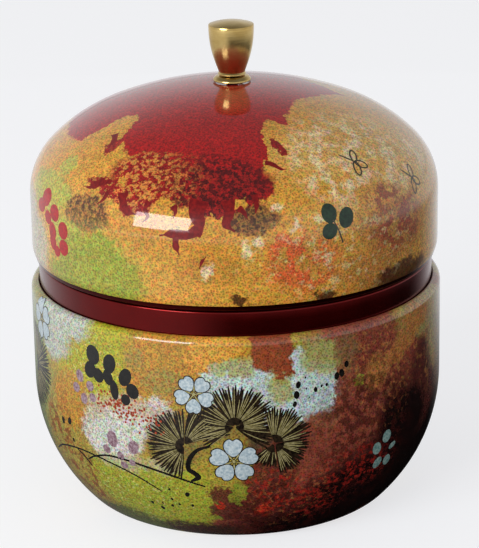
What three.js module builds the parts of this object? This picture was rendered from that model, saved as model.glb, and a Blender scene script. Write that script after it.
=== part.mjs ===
// A round tea caddy of printed tinplate: a drawn body on a standing ring, a lacquered neck sleeve
// with one pressed ring, a domed lid that lifts off over the neck, a turned brass knob held by a
// screw from inside, and a plug lid that closes the neck under the domed one.
// Millimetres, +Z up, origin at the middle of the plane that the caddy stands on.

import * as THREE from "three";

// ---- Driving dimensions ---------------------------------------------------------------------

const sheet = 0.3; // tinplate of body, neck, lid and plug lid
const gap = 0.3; // left between faces that touch or slide

const bodyRadius = 52; // outside of the body's straight wall
const bodyHeight = 57.3; // from the standing plane to the body's turned-in edge
const bodyEdgeRadius = 1.9; // quarter round by which the wall turns in to the mouth
const bellyRadius = 43; // long curve under the straight wall
const bellyAngle = 43; // degrees of that curve
const heelRadius = 8; // short curve from the belly down to the standing ring
const standWidth = 3.1; // flat width of the standing ring
const panelRise = 1.2; // how far the base panel is pressed up inside the ring

const ringHeight = 6; // pressed ring of the neck sleeve, above the body's edge
const ringCorner = 0.5; // round of the ring's upper corner
const neckStep = 0.8; // from the ring in to the neck
const neckHeight = 17; // from the body's edge to the top of the neck
const neckLip = 0.8; // quarter round that turns the neck's top edge in
const skirtDepth = 13; // sleeve held inside the body, under the body's edge
const jogDrop = 1; // from the start of the body's turned-in edge down to where the sleeve widens
const jogHeight = 1.6; // height over which it widens to the skirt

const curlRadius = 0.65; // curled lower edge of the lid
const lidOverhang = 0.7; // lid wall outside its curled edge
const lipRadius = 6.8; // curve that brings the lid wall in to the curl
const domeAboveNeck = 5.5; // from the top of the neck up to the start of the dome
const shoulderRadius = 17; // dome, from the wall inwards: shoulder, haunch and crown
const shoulderAngle = 45; // degrees of the shoulder
const haunchRadius = 40;
const crownRadius = 90;
const seatMargin = 0.5; // flat at the top of the dome, beyond what bears on it

const knobLipRadius = 5.65; // widest part of the knob
const knobWaistRadius = 3.25;
const knobFootRadius = 3.45;
const knobFootHeight = 0.7;
const knobBellHeight = 11.7; // from the waist up to the lip
const knobCapRise = 1.1; // domed top above the lip
const seatRadius = 4.7; // ring between knob and lid
const seatHeight = 1.2;
const seatEdge = 0.5; // upright edge of that ring, under its slope

const screwRadius = 1.5; // M3 screw of the knob
const screwClearance = 0.3; // around screws and rivets in their holes
const screwBite = 7; // thread inside the knob
const screwHeadRadius = 2.8;
const screwHeadHeight = 2.2;
const washerRadius = 5;
const washerThickness = 0.5;

const plugDepth = 6; // recess of the plug lid, from its flange down to its floor
const plugFlangeInset = 0.1; // flange inside the outside of the neck
const plugCorner = 1.2; // round between the plug's wall and floor
const plugKnobRadius = 6;
const plugKnobWaist = 4.2;
const plugKnobHeight = 9;
const rivetRadius = 1.4;
const rivetBite = 6;
const rivetHeadRadius = 2.6;
const rivetHeadHeight = 0.9;
const plugWasherRadius = 4;

const largeSides = 40; // facets around body, neck, lid and plug lid
const smallSides = 24; // facets around knobs, washers, screw and rivet

// ---- Heights and radii that follow from them --------------------------------------------------

const radians = Math.PI / 180;

const mouthRadius = bodyRadius - bodyEdgeRadius;
const ringRadius = mouthRadius - gap;
const ringTop = bodyHeight + ringHeight;
const neckRadius = ringRadius - neckStep;
const neckTop = bodyHeight + neckHeight;

const curlRingRadius = neckRadius + gap + curlRadius; // middle of the curl, from the axis
const lidBottom = ringTop + gap;
const curlHeight = lidBottom + curlRadius;
const lidRadius = curlRingRadius + curlRadius + lidOverhang;
const domeStart = neckTop + domeAboveNeck;

// The haunch is tangent to the shoulder, and the crown, whose centre is on the axis, to the haunch.
const haunchCentre = [
  lidRadius - shoulderRadius - (haunchRadius - shoulderRadius) * Math.cos(shoulderAngle * radians),
  domeStart - (haunchRadius - shoulderRadius) * Math.sin(shoulderAngle * radians),
];
const crownDrop = Math.sqrt((crownRadius - haunchRadius) ** 2 - haunchCentre[0] ** 2);
const crownCentre = [0, haunchCentre[1] - crownDrop];
const crownAngle = Math.atan2(crownDrop, haunchCentre[0]) / radians;
const flatRadius = Math.max(seatRadius, washerRadius) + seatMargin;
const lidTop = crownCentre[1] + Math.sqrt(crownRadius ** 2 - flatRadius ** 2);

const seatBottom = lidTop + gap;
const knobBottom = seatBottom + seatHeight + gap;
const plugTop = neckTop + gap + sheet; // upper face of the plug lid's flange
const plugFloor = plugTop - plugDepth; // upper face of its floor

// ---- Helpers ----------------------------------------------------------------------------------

// Points [r, z] of an arc about a centre, from one angle to another in degrees, both ends included.
function arc([r, z], radius, from, to, steps) {
  return Array.from({ length: steps + 1 }, (_, i) => {
    const angle = (from + ((to - from) * i) / steps) * radians;
    return [r + radius * Math.cos(angle), z + radius * Math.sin(angle)];
  });
}

// The skin moved to its left by a distance, corners mitred.
function offset(skin, distance) {
  const normals = skin.slice(1).map(([r, z], i) => {
    const along = new THREE.Vector2(r - skin[i][0], z - skin[i][1]).normalize();
    return new THREE.Vector2(-along.y, along.x);
  });
  return skin.map(([r, z], i) => {
    const before = normals[Math.max(i - 1, 0)];
    const after = normals[Math.min(i, normals.length - 1)];
    const shift = before.clone().add(after).multiplyScalar(distance / (1 + before.dot(after)));
    return [r + shift.x, z + shift.y];
  });
}

// A named solid of revolution about Z. The section runs anticlockwise, seen with r to the right
// and z up, and either starts and ends on the axis or closes on itself.
function revolve(name, section, sides, material) {
  const onAxis = section[0][0] === 0;
  const points = (onAxis ? section : [...section, section[0]]).map(([r, z]) => new THREE.Vector2(r, z));
  const geometry = new THREE.LatheGeometry(points, sides).rotateX(Math.PI / 2);
  const mesh = new THREE.Mesh(geometry, material);
  mesh.name = name;
  return mesh;
}

// ---- Materials --------------------------------------------------------------------------------

const printedBody = new THREE.MeshStandardMaterial({ color: 0xa8743a, roughness: 0.25, metalness: 0.1 });
const printedLid = new THREE.MeshStandardMaterial({ color: 0xb3472b, roughness: 0.22, metalness: 0.1 });
const redLacquer = new THREE.MeshStandardMaterial({ color: 0x8c1a14, roughness: 0.2, metalness: 0.2 });
const brightTin = new THREE.MeshStandardMaterial({ color: 0xc9cac6, roughness: 0.35, metalness: 1 });
const polishedBrass = new THREE.MeshStandardMaterial({ color: 0xc9a45c, roughness: 0.15, metalness: 1 });
const zincSteel = new THREE.MeshStandardMaterial({ color: 0xb4b6b8, roughness: 0.4, metalness: 1 });

// ---- Body and neck ----------------------------------------------------------------------------

function bodyShell() {
  const bellyCentre = [bodyRadius - bellyRadius, 0];
  bellyCentre[1] = heelRadius + (bellyRadius - heelRadius) * Math.sin(bellyAngle * radians);
  const heelReach = (bellyRadius - heelRadius) * Math.cos(bellyAngle * radians);
  const heelCentre = [bellyCentre[0] + heelReach, heelRadius];
  const standInside = heelCentre[0] - standWidth;
  const skin = [
    [0, panelRise],
    [standInside - panelRise, panelRise],
    [standInside, 0],
    ...arc(heelCentre, heelRadius, -90, -bellyAngle, 3),
    ...arc(bellyCentre, bellyRadius, -bellyAngle, 0, 5).slice(1),
    ...arc([mouthRadius, bodyHeight - bodyEdgeRadius], bodyEdgeRadius, 0, 90, 3),
  ];
  const inside = offset(skin, sheet).reverse();
  return revolve("body_shell", [...skin, ...inside], largeSides, printedBody);
}

function neckSleeve() {
  const skirtRadius = bodyRadius - sheet - gap;
  const jogTop = bodyHeight - bodyEdgeRadius - jogDrop;
  const skin = [
    [skirtRadius, bodyHeight - skirtDepth],
    [skirtRadius, jogTop - jogHeight],
    [ringRadius, jogTop],
    ...arc([ringRadius - ringCorner, ringTop - ringCorner], ringCorner, 0, 90, 3),
    [neckRadius, ringTop],
    ...arc([neckRadius - neckLip, neckTop - neckLip], neckLip, 0, 90, 3),
  ];
  const inside = offset(skin, sheet).reverse();
  return revolve("neck_sleeve", [...skin, ...inside], largeSides, redLacquer);
}

// ---- Domed lid --------------------------------------------------------------------------------

function lidShell() {
  const lipAngle = Math.acos(1 - lidOverhang / lipRadius) / radians;
  const lipCentre = [lidRadius - lipRadius, curlHeight + lipRadius * Math.sin(lipAngle * radians)];
  const holeRadius = screwRadius + screwClearance;
  const flatAngle = Math.acos(flatRadius / crownRadius) / radians;
  const skin = [
    ...arc(lipCentre, lipRadius, -lipAngle, 0, 3),
    ...arc([lidRadius - shoulderRadius, domeStart], shoulderRadius, 0, shoulderAngle, 4),
    ...arc(haunchCentre, haunchRadius, shoulderAngle, crownAngle, 2).slice(1),
    ...arc(crownCentre, crownRadius, crownAngle, flatAngle, 3).slice(1),
    [holeRadius, lidTop],
  ];
  // The inner skin stops short of the skin's lower end, where it runs into the curl.
  const inside = offset(skin, sheet).slice(1).reverse();
  const curl = arc([curlRingRadius, curlHeight], curlRadius, 60, 360, 8).slice(0, -1);
  return revolve("lid_shell", [...skin, ...inside, ...curl], largeSides, printedLid);
}

function knobSeatRing() {
  const boreRadius = screwRadius + screwClearance;
  const top = seatBottom + seatHeight;
  const section = [
    [boreRadius, seatBottom],
    [seatRadius, seatBottom],
    [seatRadius, seatBottom + seatEdge],
    [knobFootRadius + gap, top],
    [boreRadius, top],
  ];
  return revolve("knob_seat_ring", section, smallSides, polishedBrass);
}

function lidKnob() {
  const boreRadius = screwRadius + screwClearance;
  const boreTop = knobBottom + screwBite + screwClearance;
  const waist = knobBottom + knobFootHeight;
  const lip = waist + knobBellHeight;
  const bell = new THREE.CubicBezierCurve(
    new THREE.Vector2(knobWaistRadius, waist),
    new THREE.Vector2(knobWaistRadius + 0.37 * (knobLipRadius - knobWaistRadius), waist + 0.23 * knobBellHeight),
    new THREE.Vector2(knobLipRadius, waist + 0.47 * knobBellHeight),
    new THREE.Vector2(knobLipRadius, lip),
  );
  const capRadius = (knobLipRadius ** 2 + knobCapRise ** 2) / (2 * knobCapRise);
  const capCentre = [0, lip + knobCapRise - capRadius];
  const capAngle = Math.acos(knobLipRadius / capRadius) / radians;
  const cap = arc(capCentre, capRadius, capAngle, 90, 4).slice(1, -1);
  const section = [
    [0, boreTop],
    [boreRadius, boreTop],
    [boreRadius, knobBottom],
    [knobFootRadius, knobBottom],
    ...bell.getPoints(7).map(({ x, y }) => [x, y]),
    ...cap,
    [0, lip + knobCapRise],
  ];
  return revolve("lid_knob", section, smallSides, polishedBrass);
}

// Both washers are flat rings that lie under a sheet, a gap below it.
function washer(name, top, radius, boreRadius) {
  const bottom = top - washerThickness;
  const section = [
    [boreRadius, bottom],
    [radius, bottom],
    [radius, top],
    [boreRadius, top],
  ];
  return revolve(name, section, smallSides, zincSteel);
}

function knobWasher() {
  return washer("knob_washer", lidTop - sheet - gap, washerRadius, screwRadius + screwClearance);
}

function knobScrew() {
  const headTop = lidTop - sheet - gap - washerThickness - gap;
  const headBottom = headTop - screwHeadHeight;
  const tip = knobBottom + screwBite;
  const section = [
    [0, headBottom],
    [0.7 * screwHeadRadius, headBottom],
    [screwHeadRadius, headBottom + 0.5 * screwHeadHeight],
    [screwHeadRadius, headTop],
    [screwRadius, headTop],
    [screwRadius, tip],
    [0, tip],
  ];
  return revolve("knob_screw", section, smallSides, zincSteel);
}

// ---- Plug lid ---------------------------------------------------------------------------------

function plugPan() {
  const wallRadius = neckRadius - neckLip - gap; // passes inside the neck's turned-in edge
  const flangeRadius = neckRadius - plugFlangeInset;
  const holeRadius = rivetRadius + screwClearance;
  const flangeUnder = plugTop - sheet;
  const floorUnder = plugFloor - sheet;
  const skin = [
    [holeRadius, floorUnder],
    ...arc([wallRadius - plugCorner, floorUnder + plugCorner], plugCorner, -90, 0, 4),
    [wallRadius, flangeUnder],
    [flangeRadius, flangeUnder],
  ];
  const inside = offset(skin, sheet).reverse();
  return revolve("plug_pan", [...skin, ...inside], largeSides, brightTin);
}

function plugKnob() {
  const boreRadius = rivetRadius + screwClearance;
  const bottom = plugFloor + gap;
  const boreTop = bottom + rivetBite + screwClearance;
  const headHeight = 0.45 * plugKnobHeight;
  const headMiddle = bottom + plugKnobHeight - headHeight / 2;
  const head = Array.from({ length: 7 }, (_, i) => {
    const angle = (-60 + (150 * i) / 6) * radians;
    return [plugKnobRadius * Math.cos(angle), headMiddle + (headHeight / 2) * Math.sin(angle)];
  }).slice(0, -1);
  const section = [
    [0, boreTop],
    [boreRadius, boreTop],
    [boreRadius, bottom],
    [0.9 * plugKnobRadius, bottom],
    [plugKnobWaist, bottom + 0.25 * plugKnobHeight],
    ...head,
    [0, bottom + plugKnobHeight],
  ];
  return revolve("plug_knob", section, smallSides, polishedBrass);
}

function plugWasher() {
  const top = plugFloor - sheet - gap;
  return washer("plug_washer", top, plugWasherRadius, rivetRadius + screwClearance);
}

function plugRivet() {
  const headTop = plugFloor - sheet - gap - washerThickness - gap;
  const headBottom = headTop - rivetHeadHeight;
  const tip = plugFloor + gap + rivetBite;
  const section = [
    [0, headBottom],
    [0.7 * rivetHeadRadius, headBottom],
    [rivetHeadRadius, headTop - 0.4 * rivetHeadHeight],
    [rivetHeadRadius, headTop],
    [rivetRadius, headTop],
    [rivetRadius, tip],
    [0, tip],
  ];
  return revolve("plug_rivet", section, smallSides, zincSteel);
}

// ---- Assembly ---------------------------------------------------------------------------------

const base = new THREE.Group();
base.add(bodyShell(), neckSleeve());

const plug = new THREE.Group();
plug.add(plugPan(), plugKnob(), plugWasher(), plugRivet());

const lid = new THREE.Group();
lid.add(lidShell(), knobSeatRing(), lidKnob(), knobWasher(), knobScrew());

const caddy = new THREE.Group();
caddy.add(base, plug, lid);

export default caddy;
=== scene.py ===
# %% [markdown]
# # A tea caddy of printed tinplate
#
# The real object is a round tin for tea leaves. Thin tinplate is printed flat by lithography,
# varnished, and then drawn to shape over a die. Body, neck, inner lid and domed lid are each one
# sheet about 0.3 mm thick. A turned brass knob is screwed to the dome.
#
# In Blender every one of these is a solid of revolution, so the whole lesson rests on one idea:
# draw half a section, and turn it once round the Z axis. What makes this caddy rich is the print,
# and that is done in two ways: the soft coloured clouds are a node pattern, and the crisp flowers,
# leaves and pine needles are very thin layers of ink laid on the metal as real meshes.

# %% Load the frame
import random
from math import acos, asin, atan2, cos, degrees, hypot, pi, radians, sin, sqrt, tau

import bmesh
import bpy
from mathutils import Matrix, Quaternion, Vector


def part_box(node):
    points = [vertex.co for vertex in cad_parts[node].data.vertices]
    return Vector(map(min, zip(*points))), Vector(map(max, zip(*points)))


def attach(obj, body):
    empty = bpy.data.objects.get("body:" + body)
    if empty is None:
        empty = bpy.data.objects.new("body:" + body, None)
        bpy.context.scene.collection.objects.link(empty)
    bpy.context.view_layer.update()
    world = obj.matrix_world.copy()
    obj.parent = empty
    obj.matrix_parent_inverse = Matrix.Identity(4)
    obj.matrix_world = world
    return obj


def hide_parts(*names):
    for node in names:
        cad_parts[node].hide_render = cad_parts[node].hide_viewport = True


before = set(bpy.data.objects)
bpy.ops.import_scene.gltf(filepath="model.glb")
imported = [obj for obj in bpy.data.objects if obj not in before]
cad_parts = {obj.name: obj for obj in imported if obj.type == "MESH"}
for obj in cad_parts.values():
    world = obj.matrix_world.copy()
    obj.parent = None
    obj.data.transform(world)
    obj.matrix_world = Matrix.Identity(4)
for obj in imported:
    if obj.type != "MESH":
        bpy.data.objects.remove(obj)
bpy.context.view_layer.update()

MM = 0.001

# %% [markdown]
# ## Sizes
#
# The frame tells how big each part is, so sizes are read from it and not typed again. Only what a
# box can't tell, such as the radius of a bend, is written down here. Everything below is in
# millimetres, and becomes metres when a mesh is finished.

# %% Read the sizes of the tin from the frame
def extent(node):
    low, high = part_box(node)
    return high.x / MM, low.z / MM, high.z / MM


INK_ROOM = 0.05  # the ink lies on the print, and both stay inside the size of the tin
SHEET = 0.3
body_radius, _, body_top = extent("body_shell")
body_radius -= INK_ROOM
neck_skirt_radius, neck_bottom, neck_top = extent("neck_sleeve")
lid_radius, lid_bottom, lid_top = extent("lid_shell")
lid_radius -= INK_ROOM
plug_radius, plug_under, plug_top = extent("plug_pan")
print("body", body_radius, body_top, "neck", neck_top, "lid", lid_radius, lid_bottom, lid_top)

# %% [markdown]
# ## The pen
#
# A section is drawn like a line with a pen. A straight run extrudes the pen's last vertex and
# moves the new one. A bend spins that vertex about the bend's middle. The list of vertices that
# the pen leaves behind is also kept as the sheet's skin, because the ink is wrapped on it later.

# %% Draw a section with a pen
def pen_down(r, z):
    pen = bmesh.new()
    return pen, [pen.verts.new((r, 0, z))]


def run(pen, path, r, z):
    """A straight run from the pen's tip to radius r and height z."""
    tip = bmesh.ops.extrude_vert_indiv(pen, verts=[path[-1]])["verts"][0]
    tip.co = (r, 0, z)
    path.append(tip)


def stepped_run(pen, path, r, z_from, z_to, steps):
    """An upright run in equal steps, which keeps its faces short."""
    for step in range(1, steps + 1):
        run(pen, path, r, z_from + (z_to - z_from) * step / steps)


def bend(pen, path, centre, angle, steps):
    """A bend about a centre (r, z). A positive angle turns anticlockwise, with r to the right."""
    for _ in range(steps):
        made = bmesh.ops.spin(pen, geom=[path[-1]], cent=(centre[0], 0, centre[1]),
                              axis=(0, -1, 0), angle=radians(angle) / steps, steps=1)
        path.append(next(v for v in made["geom_last"] if isinstance(v, bmesh.types.BMVert)))


# %% [markdown]
# ## From section to solid
#
# One full spin closes the shape. Its first and last copy are merged, and the many copies of a
# point that lies on the axis become one pole. Then the normals are worked out again, while the
# sheet has no thickness yet: on a finished wall the same step would turn its inner face round.

# %% Turn a section and make it an object
ROUND_STEPS = 224
MILLIMETRES = Matrix.Scale(MM, 4)


def turn_round(pen, steps):
    bmesh.ops.spin(pen, geom=pen.verts[:] + pen.edges[:], cent=(0, 0, 0), axis=(0, 0, 1),
                   angle=tau, steps=steps, use_merge=True)
    bmesh.ops.remove_doubles(pen, verts=pen.verts[:], dist=1e-5)
    bmesh.ops.recalc_face_normals(pen, faces=pen.faces[:])
    widest = max(pen.faces, key=lambda f: hypot(*f.calc_center_median()[:2]))
    outward = widest.calc_center_median() * Vector((1, 1, 0))
    if widest.normal.dot(outward) < 0:
        bmesh.ops.reverse_faces(pen, faces=pen.faces[:])


def finish_piece(pen, name, body, materials, sharp):
    """Makes the bmesh a smooth-shaded object that rides on a body and takes the given materials.
    Edges that turn by more than sharp degrees stay crisp."""
    bmesh.ops.transform(pen, matrix=MILLIMETRES, verts=pen.verts[:])
    mesh = bpy.data.meshes.new(name)
    pen.to_mesh(mesh)
    pen.free()
    mesh.shade_smooth()
    mesh.set_sharp_from_angle(angle=radians(sharp))
    piece = bpy.data.objects.new(name, mesh)
    bpy.context.scene.collection.objects.link(piece)
    for material in materials:
        mesh.materials.append(material)
    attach(piece, body)
    print(name, len(mesh.polygons), "faces")
    return piece


def give_thickness(piece, inner_offset=1):
    """Gives a sheet its thickness, inwards. Its inner side takes the material after the outer."""
    wall = piece.modifiers.new("Sheet", "SOLIDIFY")
    wall.thickness = SHEET * MM
    wall.offset = -1
    wall.use_even_offset = True
    wall.material_offset = inner_offset
    wall.material_offset_rim = inner_offset
    return piece


# %% [markdown]
# ## Nodes
#
# A material is a handful of nodes. One small function adds any node, sets its options, and fills
# its inputs with a value or with another node's output. Colours are written as the hex values
# that a paint chart gives, which are sRGB, while the shader wants linear light.

# %% Colours and nodes
def linear(hex_colour):
    channels = [int(hex_colour[i:i + 2], 16) / 255 for i in (0, 2, 4)]
    return [c / 12.92 if c <= 0.04045 else ((c + 0.055) / 1.055) ** 2.4 for c in channels] + [1]


def add(tree, kind, inputs=None, **settings):
    """Adds a node. Inputs are sockets by name or number, each with a value or an output."""
    made = tree.nodes.new(kind)
    for name, value in settings.items():
        setattr(made, name, value)
    for socket, value in (inputs or {}).items():
        if isinstance(value, bpy.types.NodeSocket):
            tree.links.new(value, made.inputs[socket])
        else:
            made.inputs[socket].default_value = value
    return made


def new_material(name):
    """An empty material and its surface shader."""
    material = bpy.data.materials.new(name)
    material.use_nodes = True
    tree = material.node_tree
    return material, tree, tree.nodes["Principled BSDF"]


def settle(shader, values):
    """Gives inputs of a shader their fixed values."""
    for name, value in values.items():
        shader.inputs[name].default_value = value


def two_tones(tree, shader, pattern, hex_low, hex_high):
    """The colour wanders between two close tones as a pattern goes from 0 to 1."""
    tone = add(tree, "ShaderNodeMix", {0: pattern, 6: linear(hex_low), 7: linear(hex_high)},
               data_type="RGBA")
    tree.links.new(tone.outputs[2], shader.inputs["Base Color"])


def rough_between(tree, shader, pattern, low, high):
    """The roughness goes from low to high with a pattern."""
    blur = add(tree, "ShaderNodeMapRange", {"Value": pattern, 3: low, 4: high})
    tree.links.new(blur.outputs[0], shader.inputs["Roughness"])


def relief_of(tree, shader, pattern, depth, strength, socket="Normal"):
    """A pattern stands out of the surface by a depth in mm."""
    relief = add(tree, "ShaderNodeBump", {"Height": pattern, "Distance": depth * MM,
                                          "Strength": strength})
    tree.links.new(relief.outputs[0], shader.inputs[socket])


def varnish(shader, roughness, ior):
    """A clear coat over ink. The ink under it hardly shines by itself."""
    settle(shader, {"Specular IOR Level": 0.05, "Coat Weight": 1, "Coat Roughness": roughness,
                    "Coat IOR": ior})


# %% [markdown]
# ## Camera
#
# The camera stands a little above the rim and looks slightly down, with a long lens so that the
# upright walls stay nearly parallel. It is rolled by one degree, as a hand-levelled camera is.

# %% Camera
VIEW_DISTANCE = 600
VIEW_ELEVATION = radians(18.2)
VIEW_ROLL = radians(-1.05)
look_from = Vector((0, -cos(VIEW_ELEVATION), sin(VIEW_ELEVATION))) * VIEW_DISTANCE
look_from.z += body_top
look_at = Vector((0.97, -0.33, body_top - 1.02))

camera = bpy.data.objects.new("camera", bpy.data.cameras.new("camera"))
camera.data.lens = 154.6
camera.data.clip_start = 0.05
camera.location = look_from * MM
camera.rotation_mode = "QUATERNION"
towards = (look_at - look_from).to_track_quat("-Z", "Y")
camera.rotation_quaternion = towards @ Quaternion((0, 0, 1), VIEW_ROLL)
bpy.context.scene.collection.objects.link(camera)
bpy.context.scene.camera = camera
bpy.context.scene.view_settings.view_transform = "Standard"
print("camera", [round(c, 3) for c in camera.location])

# %% [markdown]
# ## Studio
#
# Gloss shows the room, so the room matters as much as the paint. The floor is a white light
# table. One soft box stands in front on the left and gives the short white flash on the dome. A
# graduated card lies flat round the caddy's foot. It is dark on the front right and close to the
# foot, which keeps the lacquer deep, and brighter elsewhere and towards its rim. Only reflections
# see the card.

# %% Floor, lights and card
floor_white, floor_tree, floor_shader = new_material("light_table_acrylic")
grain = add(floor_tree, "ShaderNodeTexNoise", {"Scale": 40, "Detail": 2})
two_tones(floor_tree, floor_shader, grain.outputs["Fac"], "a8a9ab", "acadaf")
settle(floor_shader, {"Roughness": 0.9, "Specular IOR Level": 0.1,
                      "Emission Color": linear("f8f8fa"), "Emission Strength": 0.72})

floor_mesh = bmesh.new()
bmesh.ops.create_circle(floor_mesh, cap_ends=True, segments=96, radius=12)
floor_data = bpy.data.meshes.new("floor")
floor_mesh.to_mesh(floor_data)
floor_mesh.free()
floor = bpy.data.objects.new("floor", floor_data)
floor_data.materials.append(floor_white)
bpy.context.scene.collection.objects.link(floor)

CARD_MIDDLE, CARD_DARK_HALF, CARD_FADE = 56, 50, 44  # degrees round, from the front
CARD_INSIDE, CARD_OUTSIDE, CARD_HEIGHT = 38, 460, 0.6  # mm
CARD_DIM, CARD_BRIGHT = 0.12, 0.85  # glow beside the caddy's foot, and far from it
CARD_GROWS = 70, 210  # mm from the axis, between which the lit side goes from dim to bright
RIM_GROWS = 200, 455  # mm from the axis, between which every side fades up to bright
card_paper, card_tree, card_shader = new_material("graduated_studio_card")
place = add(card_tree, "ShaderNodeTexCoord")
in_mm = add(card_tree, "ShaderNodeVectorMath", {0: place.outputs["Object"], "Scale": 1 / MM},
            operation="SCALE")
facing = add(card_tree, "ShaderNodeVectorRotate", {"Vector": in_mm.outputs[0],
             "Angle": radians(180 - CARD_MIDDLE)}, rotation_type="Z_AXIS")
axes = add(card_tree, "ShaderNodeSeparateXYZ", {0: facing.outputs[0]})
angle = add(card_tree, "ShaderNodeMath", {0: axes.outputs["X"], 1: axes.outputs["Y"]},
            operation="ARCTAN2")
aside = add(card_tree, "ShaderNodeMath", {0: angle.outputs[0]}, operation="ABSOLUTE")
lit_side = add(card_tree, "ShaderNodeMapRange", {"Value": aside.outputs[0],
               1: radians(CARD_DARK_HALF), 2: radians(CARD_DARK_HALF + CARD_FADE)},
               interpolation_type="SMOOTHSTEP")
away = add(card_tree, "ShaderNodeVectorMath", {0: in_mm.outputs[0]}, operation="LENGTH")
lit_far = add(card_tree, "ShaderNodeMapRange", {"Value": away.outputs["Value"],
              1: CARD_GROWS[0], 2: CARD_GROWS[1], 3: CARD_DIM, 4: CARD_BRIGHT},
              interpolation_type="SMOOTHSTEP")
glow = add(card_tree, "ShaderNodeMath", {0: lit_side.outputs[0], 1: lit_far.outputs[0]},
           operation="MULTIPLY")
rim = add(card_tree, "ShaderNodeMapRange", {"Value": away.outputs["Value"], 1: RIM_GROWS[0],
          2: RIM_GROWS[1], 3: 0, 4: CARD_BRIGHT}, interpolation_type="SMOOTHSTEP")
glow = add(card_tree, "ShaderNodeMath", {0: glow.outputs[0], 1: rim.outputs[0]},
           operation="MAXIMUM")
card_tree.links.new(glow.outputs[0], card_shader.inputs["Emission Strength"])
settle(card_shader, {"Emission Color": linear("f4f6f8"), "Base Color": linear("0c0c0c"),
                     "Roughness": 1, "Specular IOR Level": 0})

card_mesh, card_path = pen_down(CARD_INSIDE, CARD_HEIGHT)
run(card_mesh, card_path, CARD_OUTSIDE, CARD_HEIGHT)
bmesh.ops.spin(card_mesh, geom=card_mesh.verts[:] + card_mesh.edges[:], cent=(0, 0, 0),
               axis=(0, 0, 1), angle=tau, steps=96, use_merge=True)
bmesh.ops.transform(card_mesh, matrix=MILLIMETRES, verts=card_mesh.verts[:])
card_data = bpy.data.meshes.new("studio_card")
card_mesh.to_mesh(card_data)
card_mesh.free()
card_data.materials.append(card_paper)
card = bpy.data.objects.new("studio_card", card_data)
card.visible_camera = card.visible_diffuse = card.visible_shadow = False
floor.visible_diffuse = False
bpy.context.scene.collection.objects.link(card)

LIT_POINT = Vector((0, 0, 0.07))  # metres, a little above the middle of the caddy


def soft_box(name, azimuth, elevation, distance, size, power):
    """A white area light at a direction from the caddy, in degrees, and a distance in metres."""
    a, e = radians(azimuth), radians(elevation)
    away = Vector((sin(a) * cos(e), -cos(a) * cos(e), sin(e)))
    light = bpy.data.lights.new(name, "AREA")
    light.shape = "RECTANGLE"
    light.size, light.size_y = size
    light.energy = power
    lamp = bpy.data.objects.new(name, light)
    lamp.location = LIT_POINT + away * distance
    lamp.rotation_mode = "QUATERNION"
    lamp.rotation_quaternion = (-away).to_track_quat("-Z", "Y")
    bpy.context.scene.collection.objects.link(lamp)
    print(name, [round(c, 2) for c in lamp.location])


soft_box("key_soft_box", -40, 15.5, 0.9, (0.5, 0.33), 5.0)

world = bpy.data.worlds.new("pale_studio")
world.use_nodes = True
WORLD_LOW, WORLD_HIGH, WORLD_UNDER = 0.85, 0.26, 0.16  # walls, ceiling, and below the floor
# Where one fades into the next, as the upward part of the direction, from -1 to 1
CEILING_FADE, FLOOR_FADE = (0.25, 0.8), (-0.12, 0.04)
sky = world.node_tree
direction = add(sky, "ShaderNodeTexCoord")
upwards = add(sky, "ShaderNodeSeparateXYZ", {0: direction.outputs["Generated"]})
dimmer = add(sky, "ShaderNodeMapRange", {"Value": upwards.outputs["Z"], 1: CEILING_FADE[0],
             2: CEILING_FADE[1], 3: WORLD_LOW, 4: WORLD_HIGH}, interpolation_type="SMOOTHSTEP")
over = add(sky, "ShaderNodeMapRange", {"Value": upwards.outputs["Z"], 1: FLOOR_FADE[0],
           2: FLOOR_FADE[1], 3: WORLD_UNDER, 4: 1})
level = add(sky, "ShaderNodeMath", {0: dimmer.outputs[0], 1: over.outputs[0]},
            operation="MULTIPLY")
sky.links.new(level.outputs[0], sky.nodes["Background"].inputs["Strength"])
sky.nodes["Background"].inputs["Color"].default_value = linear("f4f6f8")
bpy.context.scene.world = world

# %% [markdown]
# ## Metals and lacquer
#
# Tinplate that isn't printed is steel with a bright coat of tin: a soft mirror with the faint
# lines of the rolling mill. Brass that was turned on a lathe and polished keeps very fine rings.
# Zinc-plated steel is greyer and a little blotchy.

# %% Bright tinplate: rolled, so its fine lines run one way and blur the reflection
bright_tin, tree, shader = new_material("bright_tinplate")
place = add(tree, "ShaderNodeTexCoord")
ROLLING_LINE = 0.6  # mm between mill lines; real ones are finer and wouldn't show
stretch = add(tree, "ShaderNodeMapping", {"Vector": place.outputs["Object"],
              "Scale": (1 / (40 * MM), 1 / (ROLLING_LINE * MM), 1 / (ROLLING_LINE * MM))})
lines = add(tree, "ShaderNodeTexNoise", {"Vector": stretch.outputs[0], "Scale": 1, "Detail": 3})
two_tones(tree, shader, lines.outputs["Fac"], "c4c5c1", "dcdcd8")
rough_between(tree, shader, lines.outputs["Fac"], 0.22, 0.38)
relief_of(tree, shader, lines.outputs["Fac"], 0.01, 0.5)
settle(shader, {"Metallic": 1})

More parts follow.
